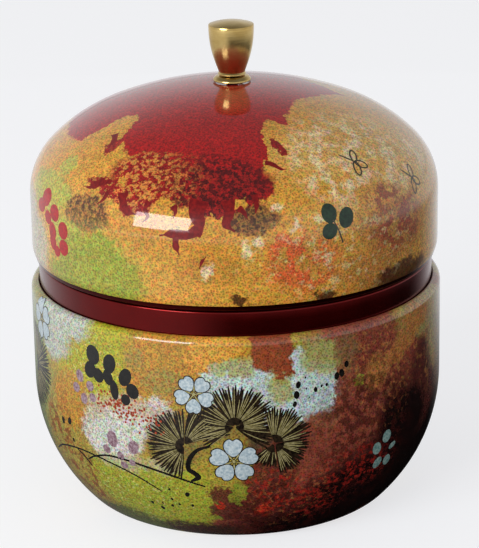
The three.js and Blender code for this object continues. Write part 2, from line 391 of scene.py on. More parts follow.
# %% Polished turned brass: warm, mirror-like, with fine lathe rings
brass, tree, shader = new_material("polished_turned_brass")
place = add(tree, "ShaderNodeTexCoord")
LATHE_RING = 0.35  # mm between rings of the cutting tool, coarse enough to show
stretch = add(tree, "ShaderNodeMapping", {"Vector": place.outputs["Object"],
              "Scale": (1 / (9 * MM), 1 / (9 * MM), 1 / (LATHE_RING * MM))})
rings = add(tree, "ShaderNodeTexNoise", {"Vector": stretch.outputs[0], "Scale": 1, "Detail": 2})
tarnish = add(tree, "ShaderNodeTexNoise", {"Vector": place.outputs["Object"],
                                           "Scale": 1 / (3 * MM), "Detail": 3})
two_tones(tree, shader, tarnish.outputs["Fac"], "a88540", "dcc284")
rough_between(tree, shader, rings.outputs["Fac"], 0.12, 0.26)
relief_of(tree, shader, rings.outputs["Fac"], 0.012, 0.6)
settle(shader, {"Metallic": 1})

# %% Zinc-plated steel: grey, slightly cloudy
zinc, tree, shader = new_material("zinc_plated_steel")
place = add(tree, "ShaderNodeTexCoord")
clouds = add(tree, "ShaderNodeTexNoise", {"Vector": place.outputs["Object"],
                                          "Scale": 1 / (1.2 * MM), "Detail": 4})
two_tones(tree, shader, clouds.outputs["Fac"], "94979a", "c3c5c6")
rough_between(tree, shader, clouds.outputs["Fac"], 0.28, 0.5)
settle(shader, {"Metallic": 1})

# %% Red stoving lacquer: clear red over bright tin, so it glows where it mirrors light
red_lacquer, tree, shader = new_material("red_lacquer_on_tinplate")
place = add(tree, "ShaderNodeTexCoord")
flow = add(tree, "ShaderNodeTexNoise", {"Vector": place.outputs["Object"],
                                        "Scale": 1 / (6 * MM), "Detail": 3})
two_tones(tree, shader, flow.outputs["Fac"], "580505", "700808")
rough_between(tree, shader, flow.outputs["Fac"], 0.16, 0.24)
ORANGE_PEEL = 1.1  # mm between the soft waves of sprayed lacquer
waves = add(tree, "ShaderNodeTexNoise", {"Vector": place.outputs["Object"],
                                         "Scale": 1 / (ORANGE_PEEL * MM), "Detail": 1})
relief_of(tree, shader, waves.outputs["Fac"], 0.01, 0.4, "Coat Normal")
settle(shader, {"Metallic": 0.95, "Coat Weight": 0.2, "Coat Roughness": 0.06})
print("plain finishes", [m.name for m in (bright_tin, brass, zinc, red_lacquer)])

# %% [markdown]
# ## The printed ground
#
# The print is a map laid round the tin, so the pattern needs map coordinates: how far round, in
# degrees from the front, and how high, in millimetres. Both are worked out from the Object
# coordinates. The back repeats the front as in a mirror, and the map has no seam that way.
#
# The printer built the picture up from flat colours with ragged, wet-looking edges. Here each
# colour is a layer made of a few ellipses. A noise pushes the map about before the ellipses are
# measured, which tears their edges, and a finer noise decides how the edge breaks into flecks.

# %% Map coordinates, bent by noise
def print_map(tree, dome_share, wander, fray):
    """Map coordinates (degrees, millimetres, 0). On a dome the height goes on along the surface.
    Wander and fray are how far, in mm, the edges of clouds drift at a large and a small scale."""
    place = add(tree, "ShaderNodeTexCoord")
    in_mm = add(tree, "ShaderNodeVectorMath", {0: place.outputs["Object"], "Scale": 1 / MM},
                operation="SCALE")
    axes = add(tree, "ShaderNodeSeparateXYZ", {0: in_mm.outputs[0]})
    mirrored = add(tree, "ShaderNodeMath", {0: axes.outputs["Y"]}, operation="ABSOLUTE")
    angle = add(tree, "ShaderNodeMath", {0: axes.outputs["X"], 1: mirrored.outputs[0]},
                operation="ARCTAN2")
    round_degrees = add(tree, "ShaderNodeMath", {0: angle.outputs[0]}, operation="DEGREES")
    height = axes.outputs["Z"]
    if dome_share:
        flat = add(tree, "ShaderNodeCombineXYZ", {"X": axes.outputs["X"], "Y": axes.outputs["Y"]})
        radius = add(tree, "ShaderNodeVectorMath", {0: flat.outputs[0]}, operation="LENGTH")
        inwards = add(tree, "ShaderNodeMath", {0: lid_radius, 1: radius.outputs["Value"]},
                      operation="SUBTRACT")
        height = add(tree, "ShaderNodeMath", {0: inwards.outputs[0], 1: dome_share, 2: height},
                     operation="MULTIPLY_ADD").outputs[0]
    spot = add(tree, "ShaderNodeCombineXYZ", {"X": round_degrees.outputs[0], "Y": height})
    for size, reach in ((10, wander), (3.2, fray), (1.1, fray * 0.7)):
        noise = add(tree, "ShaderNodeTexNoise", {"Vector": in_mm.outputs[0], "Scale": 1 / size,
                                                 "Detail": 2, "Roughness": 0.6})
        centred = add(tree, "ShaderNodeVectorMath", {0: noise.outputs["Color"],
                                                     1: (0.5, 0.5, 0.5)}, operation="SUBTRACT")
        spot = add(tree, "ShaderNodeVectorMath", {0: centred.outputs[0], 1: (reach,) * 3,
                                                  2: spot.outputs[0]}, operation="MULTIPLY_ADD")
    flat = add(tree, "ShaderNodeVectorMath", {0: spot.outputs[0], 1: (1, 1, 0)},
               operation="MULTIPLY")
    return in_mm.outputs[0], flat.outputs[0]


# %% [markdown]
# An ellipse is one Multiply Add node: it shrinks the map by the ellipse's radii and moves it to the
# ellipse's middle, so that the length of what comes out is 1 on the edge. A tilted ellipse measures
# along its own two axes instead. The smallest length of a layer's ellipses joins them, and a soft
# step turns it into a mask. Mapping nodes would do the same, but each would hold room in the
# render's small store of values, and a picture of a hundred clouds wouldn't fit.

# %% Lay clouds of one colour over a picture
def cloud_mask(tree, spot, clouds, softness):
    """Clouds are (degrees round, height in mm, half width, half height[, tilt in degrees])."""
    joined = None
    for azimuth, height, half_width, half_height, *tilt in clouds:
        if tilt:
            c, q = cos(radians(tilt[0])), sin(radians(tilt[0]))
            from_middle = add(tree, "ShaderNodeVectorMath", {0: spot, 1: (azimuth, height, 0)},
                              operation="SUBTRACT")
            along, across = (add(tree, "ShaderNodeVectorMath", {0: from_middle.outputs[0], 1: axis},
                                 operation="DOT_PRODUCT").outputs["Value"]
                             for axis in ((c / half_width, q / half_width, 0),
                                          (-q / half_height, c / half_height, 0)))
            moved = add(tree, "ShaderNodeCombineXYZ", {"X": along, "Y": across})
        else:
            moved = add(tree, "ShaderNodeVectorMath",
                        {0: spot, 1: (1 / half_width, 1 / half_height, 0),
                         2: (-azimuth / half_width, -height / half_height, 0)},
                        operation="MULTIPLY_ADD")
        edge = add(tree, "ShaderNodeVectorMath", {0: moved.outputs[0]}, operation="LENGTH")
        edge = edge.outputs["Value"]
        if joined is not None:
            edge = add(tree, "ShaderNodeMath", {0: joined, 1: edge, 2: 0.25},
                       operation="SMOOTH_MIN").outputs[0]
        joined = edge
    return add(tree, "ShaderNodeMapRange", {"Value": joined, 1: 1 - softness / 2,
                                            2: 1 + softness / 2, 3: 1, 4: 0},
               interpolation_type="SMOOTHSTEP").outputs[0]


def lay(tree, picture, mask, hex_colour, strength=1):
    if strength < 1:
        mask = add(tree, "ShaderNodeMath", {0: mask, 1: strength}, operation="MULTIPLY").outputs[0]
    return add(tree, "ShaderNodeMix", {0: mask, 6: picture, 7: linear(hex_colour)},
               data_type="RGBA").outputs[2]


def flecks(tree, in_mm, size, threshold, spread, stretch=(1, 1, 1)):
    """A mask of ragged flecks of about that size in mm. A lower threshold gives more of them."""
    if stretch != (1, 1, 1):
        in_mm = add(tree, "ShaderNodeVectorMath", {0: in_mm, 1: stretch},
                    operation="MULTIPLY").outputs[0]
    noise = add(tree, "ShaderNodeTexNoise", {"Vector": in_mm, "Scale": 1 / size,
                                             "Detail": 4, "Roughness": 0.65})
    return add(tree, "ShaderNodeMapRange", {"Value": noise.outputs["Fac"],
                                            1: threshold - spread, 2: threshold + spread},
               interpolation_type="SMOOTHSTEP").outputs[0]


def both(tree, mask, other):
    return add(tree, "ShaderNodeMath", {0: mask, 1: other}, operation="MULTIPLY").outputs[0]


# %% [markdown]
# Lithography prints every colour as rows of tiny dots. Real dots are about 0.17 mm apart, too fine
# to show here, so they are drawn coarser. Each one strays a little in colour, as single inks do.
# Over the ink lies a clear stoving varnish. The varnish is the shader's coat: it gives the sharp
# white reflections, and the ink under it stays softer.

# %% Finish a print with dots and varnish
DOT_PITCH = 0.5  # mm
MOTTLE, WAVE = 1.6, 1.4  # mm: size of the uneven places in ink and of the waves in varnish
INK_SHIFT = 0.5  # how far a dot's red, green and blue stray from the picture's


def varnish_print(tree, shader, in_mm, picture):
    dots = add(tree, "ShaderNodeTexVoronoi", {"Vector": in_mm, "Scale": 1 / DOT_PITCH})
    grain = add(tree, "ShaderNodeMapRange", {"Value": dots.outputs["Distance"], 1: 0.1, 2: 0.62,
                                             3: 0.5, 4: 1.46})
    mottle = add(tree, "ShaderNodeTexNoise", {"Vector": in_mm, "Scale": 1 / MOTTLE, "Detail": 4,
                                              "Roughness": 0.7})
    uneven = add(tree, "ShaderNodeMapRange", {"Value": mottle.outputs["Fac"], 1: 0.3, 2: 0.7,
                                              3: 0.78, 4: 1.22})
    both_tones = add(tree, "ShaderNodeMath", {0: grain.outputs[0], 1: uneven.outputs[0]},
                     operation="MULTIPLY")
    four_inks = add(tree, "ShaderNodeVectorMath", {0: dots.outputs["Color"], 1: (INK_SHIFT,) * 3,
                                                   2: (1 - INK_SHIFT / 2,) * 3},
                    operation="MULTIPLY_ADD")
    tinted = add(tree, "ShaderNodeVectorMath", {0: picture, 1: four_inks.outputs[0]},
                 operation="MULTIPLY")
    inked = add(tree, "ShaderNodeVectorMath", {0: tinted.outputs[0],
                                               "Scale": both_tones.outputs[0]}, operation="SCALE")
    waves = add(tree, "ShaderNodeTexNoise", {"Vector": in_mm, "Scale": 1 / WAVE, "Detail": 1})
    tree.links.new(inked.outputs[0], shader.inputs["Base Color"])
    rough_between(tree, shader, mottle.outputs["Fac"], 0.32, 0.48)
    relief_of(tree, shader, waves.outputs["Fac"], 0.006, 0.35, "Coat Normal")
    varnish(shader, 0.055, 1.54)


# %% [markdown]
# ## The body's print
#
# From left to right the ground goes from milky green and white over yellow-green and ochre to
# rust, and down to nearly black on the right. Pale clouds drift behind the pine tree.

# %% Body print
printed_body, tree, shader = new_material("printed_tinplate_body")
in_mm, spot = print_map(tree, 0, wander=4, fray=4.4)

picture = add(tree, "ShaderNodeRGB").outputs[0]
picture.default_value = linear("a08a34")
layers = [
    # colour, clouds, softness, strength
    ("848e56", [(-80, 36, 16, 22)], 0.6, 1),
    ("a08e40", [(-56, 25, 12, 10)], 0.6, 1),
    ("8a4534", [(34, 34, 20, 30), (50, 24, 30, 26), (14, 12, 14, 10), (2, 9, 11, 7),
                (72, 40, 22, 22)], 0.25, 1),
    ("542620", [(46, 24, 22, 17), (24, 8, 24, 9), (66, 30, 14, 20), (10, 3, 22, 6)], 0.5, 1),
    ("180a0a", [(40, 12, 20, 11), (52, 28, 11, 9), (24, 5, 18, 6), (60, 12, 18, 12),
                (76, 16, 14, 14)], 0.5, 1),
    ("a08a52", [(64, 54, 14, 6), (76, 46, 10, 10)], 0.5, 1),
    ("8f6c46", [(80, 42, 8, 12), (86, 24, 7, 10)], 0.9, 0.8),
    ("6a3222", [(88, 38, 5, 7), (89, 12, 6, 8)], 0.7, 0.85),
    ("a49c24", [(-38, 50, 10, 10), (-46, 43, 11, 6)], 0.4, 1),
    ("adb0a2", [(-60, 51, 8, 7), (-56, 56, 13, 4.4)], 0.4, 1),
    ("b4842e", [(-19, 51, 12, 10), (-52, 35, 8, 8), (-24, 44, 8, 6), (-12, 52, 8, 7),
                (1, 54, 6, 4)], 0.4, 1),
    ("94823c", [(-20, 45, 6, 4), (-28, 50, 3, 3)], 0.6, 0.9),
    ("c0c0b6", [(-37, 29.5, 10, 7), (-22, 38, 5, 3.5), (-31, 33.6, 8, 4)], 0.3, 1),
    ("b8a78e", [(-30, 38, 9, 2.6), (-42, 36, 4, 3)], 0.7, 0.8),
    ("9a9a30", [(-26, 13, 20, 9.5), (-36, 19, 12, 4), (-14, 18, 6, 5)], 0.3, 1),
    ("b0ac8c", [(-34, 23, 9, 2.4), (-20, 23.4, 5, 2)], 0.8, 0.7),
    ("565c28", [(-38, 3.5, 20, 3.5)], 0.6, 1),
    ("3c241c", [(-13, 3.6, 13, 3)], 0.6, 1),
    ("6a5834", [(-17, 31, 9, 8), (-3, 38, 8, 7)], 0.6, 0.7),
    ("48302a", [(11, 30, 9, 8), (6, 38, 6, 4)], 0.6, 0.9),
    ("b3c2be", [(-4, 46, 7, 5, 20), (20, 43, 7.5, 8), (16, 49, 4, 5), (10, 40, 8, 5),
                (3, 46.4, 6, 4.6)], 0.3, 1),
    ("9c9a5a", [(23, 51, 6, 4.5), (11, 44, 3.4, 4), (24, 35, 4, 2), (-1, 50, 6, 2.2)], 0.6, 0.85),
    ("8a4428", [(9, 54, 6, 5.4), (11.5, 49.4, 3, 2.6)], 0.22, 1),
    ("cf953c", [(-6, 55, 7, 3.6), (-10, 52, 3, 3)], 0.4, 0.9),
    ("844231", [(35, 52, 8, 8), (35, 38, 8, 12), (24, 29, 9, 9), (29, 43, 3, 8)], 0.25, 0.9),
    ("7a5e3c", [(30, 50.6, 3.6, 5)], 0.6, 0.8),
    ("b0733c", [(50, 48, 14, 2.8, 30), (40, 43.5, 3.6, 4.4), (58, 54, 7, 3)], 0.6, 0.9),
    ("5c2c22", [(10, 24, 6.5, 7), (6, 18, 8, 4), (-5.5, 16, 3.4, 2.4), (-2, 11.5, 7, 3)], 0.3, 0.95),
    ("86862e", [(0, 17.4, 2.6, 3), (-1, 14.6, 2.2, 1.6), (-8, 9.4, 3, 1.2), (34, 43, 1.5, 1.5)],
     0.4, 1),
    ("b5301c", [(7, 11.5, 2.2, 1.8), (-6, 13, 1, 1)], 0.7, 0.9),
]
for colour, clouds, softness, strength in layers:
    picture = lay(tree, picture, cloud_mask(tree, spot, clouds, softness), colour, strength)

FIELDS = [
    # where flecks lie over the ground, their size in mm, how rare, their colour and strength
    ([(-19, 48, 13, 11), (-52, 34, 9, 9)], 1.0, 0.53, "9a5a1c", 0.6),
    ([(-52, 14, 9, 10), (-60, 26, 7, 8)], 2.4, 0.53, "80401c", 0.85),
    ([(-40, 44, 14, 12), (-28, 14, 16, 9)], 1.6, 0.57, "6c7424", 0.6),
    ([(-30, 14, 18, 9), (-44, 46, 12, 10)], 1.0, 0.6, "d0cc84", 0.5),
    ([(40, 44, 13, 14), (14, 16, 12, 9)], 1.3, 0.58, "b0683c", 0.6),
    ([(38, 28, 16, 20), (14, 10, 16, 10)], 2.2, 0.5, "3c1410", 0.7),
    ([(48, 48, 16, 9), (66, 46, 8, 12), (84, 34, 10, 22)], 2.6, 0.56, "b07840", 0.55),
    ([(16, 16, 14, 6, -20), (34, 20, 12, 6)], 1.4, 0.54, "a3241a", 0.7),
    ([(10, 44, 7, 6), (-34, 31, 10, 6)], 2.4, 0.58, "9a9a62", 0.6),
]
for clouds, size, rare, colour, strength in FIELDS:
    mask = both(tree, cloud_mask(tree, spot, clouds, 0.8), flecks(tree, in_mm, size, rare, 0.04))
    picture = lay(tree, picture, mask, colour, strength)
varnish_print(tree, shader, in_mm, picture)
print("body print", len(tree.nodes), "nodes")

# %% [markdown]
# ## The lid's print
#
# The top of the dome is deep red. Its edge runs down over a gold ground like the crown of a maple
# tree in autumn: solid at the top, then breaking into leaves. A curve gives the height of that
# edge at each point round the lid, and the noise of the map makes it ragged.

# %% Heights on the dome
DOME_SHARE = 0.8  # of the way in from the wall that counts as height
SHOULDER_RADIUS, SHOULDER_ANGLE, HAUNCH_RADIUS, CROWN_RADIUS = 17, 45, 40, 90
dome_start = neck_top + 5.5
haunch_centre = (
    lid_radius - SHOULDER_RADIUS - (HAUNCH_RADIUS - SHOULDER_RADIUS) * cos(radians(SHOULDER_ANGLE)),
    dome_start - (HAUNCH_RADIUS - SHOULDER_RADIUS) * sin(radians(SHOULDER_ANGLE)))
crown_middle = haunch_centre[1] - sqrt((CROWN_RADIUS - HAUNCH_RADIUS) ** 2 - haunch_centre[0] ** 2)
crown_angle = degrees(atan2(haunch_centre[1] - crown_middle, haunch_centre[0]))


def dome_radius(z):
    """Radius of the lid's skin at a height."""
    shoulder_top = dome_start + SHOULDER_RADIUS * sin(radians(SHOULDER_ANGLE))
    haunch_top = haunch_centre[1] + HAUNCH_RADIUS * sin(radians(crown_angle))
    if z < dome_start:
        return lid_radius
    if z < shoulder_top:
        return lid_radius - SHOULDER_RADIUS + sqrt(SHOULDER_RADIUS ** 2 - (z - dome_start) ** 2)
    if z < haunch_top:
        return haunch_centre[0] + sqrt(HAUNCH_RADIUS ** 2 - (z - haunch_centre[1]) ** 2)
    return sqrt(max(CROWN_RADIUS ** 2 - (z - crown_middle) ** 2, 0))


def on_dome(z):
    """Map height of a point of the lid at height z."""
    return z + DOME_SHARE * (lid_radius - dome_radius(z))


print("map height of the dome's top", round(on_dome(lid_top), 1))

# %% Lid print
printed_lid, tree, shader = new_material("printed_tinplate_lid")
in_mm, spot = print_map(tree, DOME_SHARE, wander=3.5, fray=4.2)
fine_spots = flecks(tree, in_mm, 1.1, 0.5, 0.06)
streaks = flecks(tree, in_mm, 3.2, 0.52, 0.1, (1, 1, 0.5))

picture = add(tree, "ShaderNodeRGB").outputs[0]
picture.default_value = linear("c68e36")
layers = [
    ("cfa155", [(46, 97, 30, 12), (66, 92, 18, 12)], 0.6, 0.9),
    ("c08428", [(-14, 80, 14, 7)], 0.8, 0.8),
    ("a8a040", [(-64, 86, 13, 6), (-60, 92, 4, 3.5), (-52, 78, 8, 4)], 0.35, 1),
    ("8c8c26", [(-41, 72, 15, 7), (-43, 68, 19, 5), (-38, 77, 5, 3)], 0.3, 1),
    ("b4aa94", [(-72, 71, 9, 8), (-78, 78, 8, 6)], 0.6, 0.9),
    ("a5702c", [(-28, 82, 8, 5), (-6, 74, 10, 4)], 0.8, 0.4),
    ("7a4a28", [(-43.8, 84.3, 8.4, 5)], 0.4, 0.55),
    ("653a1e", [(4.6, 85.8, 7.4, 4.2)], 0.4, 0.7),
    ("935030", [(48, 78, 12, 8), (40, 70, 12, 5)], 0.9, 0.45),
    ("96522e", [(18, 75, 9, 6)], 0.9, 0.35),
    ("3e1d15", [(52, 66.5, 12, 2.8), (24, 66, 4, 1.4), (1, 66, 2.5, 1.2)], 0.5, 0.9),
    ("dccfa8", [(2.5, 79, 1.4, 2, 30), (-7, 73, 1.1, 2), (16, 84, 1.2, 1.6), (23, 84, 1.2, 1.6),
                (25, 75, 1.2, 1.3), (12, 88, 1.4, 1.2), (6, 81, 1.4, 1.2)], 0.9, 0.65),
]
for colour, clouds, softness, strength in layers:
    clouds = [(azimuth, on_dome(height), *size) for azimuth, height, *size in clouds]
    picture = lay(tree, picture, cloud_mask(tree, spot, clouds, softness), colour, strength)

lid_fields = [
    # where flecks lie over the ground, softness, the flecks, their colour and strength
    ([(44, 106, 24, 14), (34, 98, 12, 10), (62, 96, 16, 8)], 0.9, streaks, "e2cfa6", 0.75),
    ([(-43.8, on_dome(84.3), 8.4, 5), (4.6, on_dome(85.8), 7.4, 4.2)], 0.3, fine_spots,
     "341408", 0.85),
    ([(-42, 74, 22, 9)], 0.8, fine_spots, "a9ae4a", 0.35),
    ([(18, on_dome(74), 9, 6.4), (14, on_dome(79), 6, 4)], 0.9,
     flecks(tree, in_mm, 3.4, 0.48, 0.035), "c8562a", 0.9),
    ([(50, on_dome(80), 11, 7), (46, on_dome(86), 7, 4)], 0.9,
     flecks(tree, in_mm, 3.0, 0.48, 0.04), "8c3422", 0.85),
    ([(30, on_dome(76), 26, 10)], 0.9, flecks(tree, in_mm, 1.8, 0.58, 0.05), "d8c48a", 0.5),
]
for clouds, softness, spots, colour, strength in lid_fields:
    mask = both(tree, cloud_mask(tree, spot, clouds, softness), spots)
    picture = lay(tree, picture, mask, colour, strength)

# The red edge, as map height by degrees round the lid
RED_EDGE = [(-90, 105), (-80, 104), (-66, 106), (-62, 117), (-58, 121), (-52, 119), (-48, 111),
            (-46, 106), (-45, 109), (-41, 107), (-36, 106), (-28, 107.5), (-12, 104), (6, 102.5), (10, 105),
            (12.5, 111), (14, 121), (21, 123), (25, 119.5), (29, 123.5), (40, 127.5),
            (60, 129), (76, 127), (90, 122)]
LOWEST, SPAN = 90, 45  # the curve runs from 0 to 1, so heights are shared out over this range
axes = add(tree, "ShaderNodeSeparateXYZ", {0: spot})
along = add(tree, "ShaderNodeMapRange", {"Value": axes.outputs["X"], 1: -90, 2: 90})
edge = add(tree, "ShaderNodeFloatCurve", {"Value": along.outputs[0]})
curve = edge.mapping.curves[0]
for azimuth, height in RED_EDGE[1:-1]:
    curve.points.new((azimuth + 90) / 180, (height - LOWEST) / SPAN)
curve.points[0].location = (0, (RED_EDGE[0][1] - LOWEST) / SPAN)
curve.points[-1].location = (1, (RED_EDGE[-1][1] - LOWEST) / SPAN)
edge.mapping.update()
edge_height = add(tree, "ShaderNodeMath", {0: edge.outputs[0], 1: SPAN, 2: LOWEST},
                  operation="MULTIPLY_ADD")
above = add(tree, "ShaderNodeMath", {0: axes.outputs["Y"], 1: edge_height.outputs[0]},
            operation="SUBTRACT")
red_cap = add(tree, "ShaderNodeMapRange", {"Value": above.outputs[0], 1: -0.3, 2: 0.5}).outputs[0]

canopy = cloud_mask(tree, spot, [(-15, on_dome(94), 26, 9.5), (-30, on_dome(90.5), 9, 4.5),
                                 (2, on_dome(92), 9, 6), (-42, on_dome(91), 5, 2),
                                 (-5, on_dome(88.6), 7, 3), (-28, on_dome(87.4), 4, 2.4),
                                 (-38, on_dome(89.4), 3.4, 2),
                                 (-48, on_dome(97.3), 2.6, 3), (16.5, on_dome(99), 1.6, 4, 15)],
                    0.16)
left_half = cloud_mask(tree, spot, [(-30, on_dome(93), 17, 12)], 0.9)
right_half = cloud_mask(tree, spot, [(-4, on_dome(92), 16, 14)], 0.9)
leaves = flecks(tree, in_mm, 1.25, 0.51, 0.025)
gold_gaps = both(tree, both(tree, left_half, leaves), canopy)
dark_leaves = flecks(tree, in_mm, 1.2, 0.5, 0.03)
picture = lay(tree, picture, canopy, "8a1512")
picture = lay(tree, picture, red_cap, "9c1413")
picture = lay(tree, picture, gold_gaps, "c8843c", 0.8)
picture = lay(tree, picture, both(tree, both(tree, right_half, dark_leaves), canopy), "3a0709", 0.85)
dark_flecks = flecks(tree, in_mm, 1.6, 0.62, 0.04)
cap_foot = cloud_mask(tree, spot, [(-10, on_dome(96), 26, 9)], 0.9)
picture = lay(tree, picture, both(tree, dark_flecks, cap_foot), "520a0c", 0.8)
arches = cloud_mask(tree, spot, [(1.5, on_dome(88.9), 2.4, 1.9), (-19, on_dome(88.3), 3.6, 2.6),
                                 (-6, on_dome(85.5), 2, 1.6), (-35, on_dome(92.4), 1.8, 1.5)], 0.25)
picture = lay(tree, picture, arches, "bf8730")
varnish_print(tree, shader, in_mm, picture)
print("lid print", len(tree.nodes), "nodes")

# %% [markdown]
# ## Body
#
# The body starts as a flat printed disc and is drawn down in one piece. The pen begins in the
# middle of the base panel, goes over the ring that the caddy stands on, up the round belly and
# the straight wall, and ends at the turned-in edge that holds the neck.

# %% Body shell
STAND_INSIDE, STAND_OUTSIDE, PANEL_RISE = 31.5, 34.6, 1.2
HEEL_RADIUS, BELLY_RADIUS, BELLY_ANGLE, EDGE_RADIUS = 8, 43, 43, 1.9
pen, path = pen_down(0, PANEL_RISE)
run(pen, path, 22, PANEL_RISE)
bend(pen, path, (22, PANEL_RISE + 1), 35, 4)
bend(pen, path, (22 + 2 * sin(radians(35)), PANEL_RISE + 1 - 2 * cos(radians(35)) + 0.36), -35, 4)
run(pen, path, STAND_INSIDE - 2.2, path[-1].co.z)
run(pen, path, STAND_INSIDE - 0.5, 0.45)
run(pen, path, STAND_INSIDE - 0.2, 0.12)
run(pen, path, STAND_INSIDE + 0.2, 0)
run(pen, path, STAND_OUTSIDE, 0)
bend(pen, path, (STAND_OUTSIDE - INK_ROOM, HEEL_RADIUS), 90 - BELLY_ANGLE, 14)
belly_centre = (body_radius - BELLY_RADIUS,
                HEEL_RADIUS + (BELLY_RADIUS - HEEL_RADIUS) * sin(radians(BELLY_ANGLE)))
bend(pen, path, belly_centre, BELLY_ANGLE, 30)
edge_centre = (body_radius - EDGE_RADIUS, body_top - EDGE_RADIUS)
stepped_run(pen, path, body_radius, belly_centre[1], edge_centre[1], 8)
bend(pen, path, edge_centre, 90, 12)
body_skin = [(v.co.x, v.co.z) for v in path]
turn_round(pen, ROUND_STEPS)
body = finish_piece(pen, "printed_body", "caddy", [printed_body, bright_tin], 50)
give_thickness(body)
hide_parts("body_shell")

# %% [markdown]
# ## Neck
#
# The neck is a second sleeve, pressed into the body from above. One rolled ring rests just over
# the body's edge and is what shows as the red band. Over it the neck steps in, and the lid slides
# on there.

# %% Neck sleeve
RING_RADIUS, RING_TOP, NECK_RADIUS = 49.8, 63.3, 49.0
RING_CORNER, NECK_LIP = 0.5, 0.8
pen, path = pen_down(neck_skirt_radius, neck_bottom)
run(pen, path, neck_skirt_radius, body_top - 4.5)
run(pen, path, neck_skirt_radius - 0.25, body_top - 4.1)
run(pen, path, RING_RADIUS + 0.25, body_top - 3.3)
run(pen, path, RING_RADIUS, body_top - 2.9)
stepped_run(pen, path, RING_RADIUS, body_top - 2.9, RING_TOP - RING_CORNER, 4)
bend(pen, path, (RING_RADIUS - RING_CORNER, RING_TOP - RING_CORNER), 90, 8)
run(pen, path, NECK_RADIUS + 0.15, RING_TOP)
run(pen, path, NECK_RADIUS, RING_TOP + 0.15)
run(pen, path, NECK_RADIUS, neck_top - NECK_LIP)
bend(pen, path, (NECK_RADIUS - NECK_LIP, neck_top - NECK_LIP), 90, 8)
turn_round(pen, ROUND_STEPS)
neck = finish_piece(pen, "neck_sleeve_lacquered", "caddy",
                    [red_lacquer, bright_tin], 40)
give_thickness(neck)
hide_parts("neck_sleeve")

# %% [markdown]
# ## Domed lid
#
# Three arcs make the dome: a tight shoulder, a longer haunch and a nearly flat crown. Each begins
# where the last one ends and in its direction, so the reflections run over them without a break.
# At the bottom the sheet draws in and its raw edge is rolled up into a curl, so that nobody cuts
# a finger on it. The curl is lacquered like the neck.

# %% Lid shell
LIP_RADIUS, LID_OVERHANG, CURL_RADIUS = 6.8, 0.7, 0.65
HOLE_RADIUS, FLAT_RADIUS = 1.8, 5.5
lip_angle = degrees(acos(1 - LID_OVERHANG / LIP_RADIUS))
curl_height = lid_bottom + CURL_RADIUS
lip_centre = (lid_radius - LIP_RADIUS, curl_height + LIP_RADIUS * sin(radians(lip_angle)))
flat_angle = degrees(acos(FLAT_RADIUS / CROWN_RADIUS))
pen, path = pen_down(HOLE_RADIUS, lid_top)
run(pen, path, FLAT_RADIUS, lid_top)
path[-1].co.z = crown_middle + CROWN_RADIUS * sin(radians(flat_angle))
bend(pen, path, (0, crown_middle), crown_angle - flat_angle, 12)
bend(pen, path, haunch_centre, SHOULDER_ANGLE - crown_angle, 12)
bend(pen, path, (lid_radius - SHOULDER_RADIUS, dome_start), -SHOULDER_ANGLE, 16)
stepped_run(pen, path, lid_radius, dome_start, lip_centre[1], 5)
bend(pen, path, lip_centre, -lip_angle, 8)
lid_skin = [(v.co.x, v.co.z) for v in path][::-1]
bend(pen, path, (path[-1].co.x - CURL_RADIUS, curl_height), -300, 22)
turn_round(pen, ROUND_STEPS)
LACQUER_EDGE = curl_height + 0.9
for face in pen.faces:
    face.material_index = 2 if face.calc_center_median().z < LACQUER_EDGE else 0
lid = finish_piece(pen, "printed_domed_lid", "lid",
                   [printed_lid, bright_tin, red_lacquer, bright_tin], 50)
give_thickness(lid)
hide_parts("lid_shell")

# %% [markdown]
# ## Knob and its ring
#
# The knob was turned from brass bar: a narrow waist, a bell that opens upwards to a crisp lip, and
# a low domed top. It stands on a small dished ring. Both are solid, so their sections close on
# themselves or on the axis.

# %% Brass knob
def closed_section(points):
    """A pen path through the points and back to the first, unless both ends are on the axis."""
    pen, path = pen_down(*points[0])
    for r, z in points[1:]:
        run(pen, path, r, z)
    if points[0][0] > 0:
        pen.edges.new((path[-1], path[0]))
    return pen


_, knob_bottom, knob_top = extent("lid_knob")
LIP, WAIST, FOOT, BELL_HEIGHT, CAP_RISE = 5.65, 3.25, 3.45, 11.7, 1.1
KNOB_BORE, KNOB_BORE_TOP = 1.8, knob_bottom + 7.3
waist_height = knob_bottom + 0.7
lip_height = waist_height + BELL_HEIGHT
handles = [(WAIST, waist_height), (WAIST + 0.37 * (LIP - WAIST), waist_height + 0.23 * BELL_HEIGHT),
           (LIP, waist_height + 0.47 * BELL_HEIGHT), (LIP, lip_height)]


def bezier(handles, t):
    shares = ((1 - t) ** 3, 3 * t * (1 - t) ** 2, 3 * t * t * (1 - t), t ** 3)
    return tuple(sum(share * h[i] for share, h in zip(shares, handles)) for i in (0, 1))


bell = [bezier(handles, step / 26) for step in range(27)]
cap_radius = ((LIP - 0.25) ** 2 + (CAP_RISE - 0.25) ** 2) / (2 * (CAP_RISE - 0.25))
cap_angle = asin((LIP - 0.25) / cap_radius)
cap = [(cap_radius * sin(cap_angle * (1 - step / 14)),
        knob_top - cap_radius * (1 - cos(cap_angle * (1 - step / 14)))) for step in range(14)]
pen = closed_section([(0, KNOB_BORE_TOP), (KNOB_BORE, KNOB_BORE_TOP), (KNOB_BORE, knob_bottom),
                      (FOOT - 0.15, knob_bottom), (FOOT, knob_bottom + 0.15),
                      (FOOT, knob_bottom + 0.4), (FOOT - 0.12, knob_bottom + 0.55)]
                     + bell + [(LIP - 0.07, lip_height + 0.18)] + cap + [(0, knob_top)])
turn_round(pen, 96)
knob = finish_piece(pen, "turned_knob", "lid", [brass], 28)
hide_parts("lid_knob")

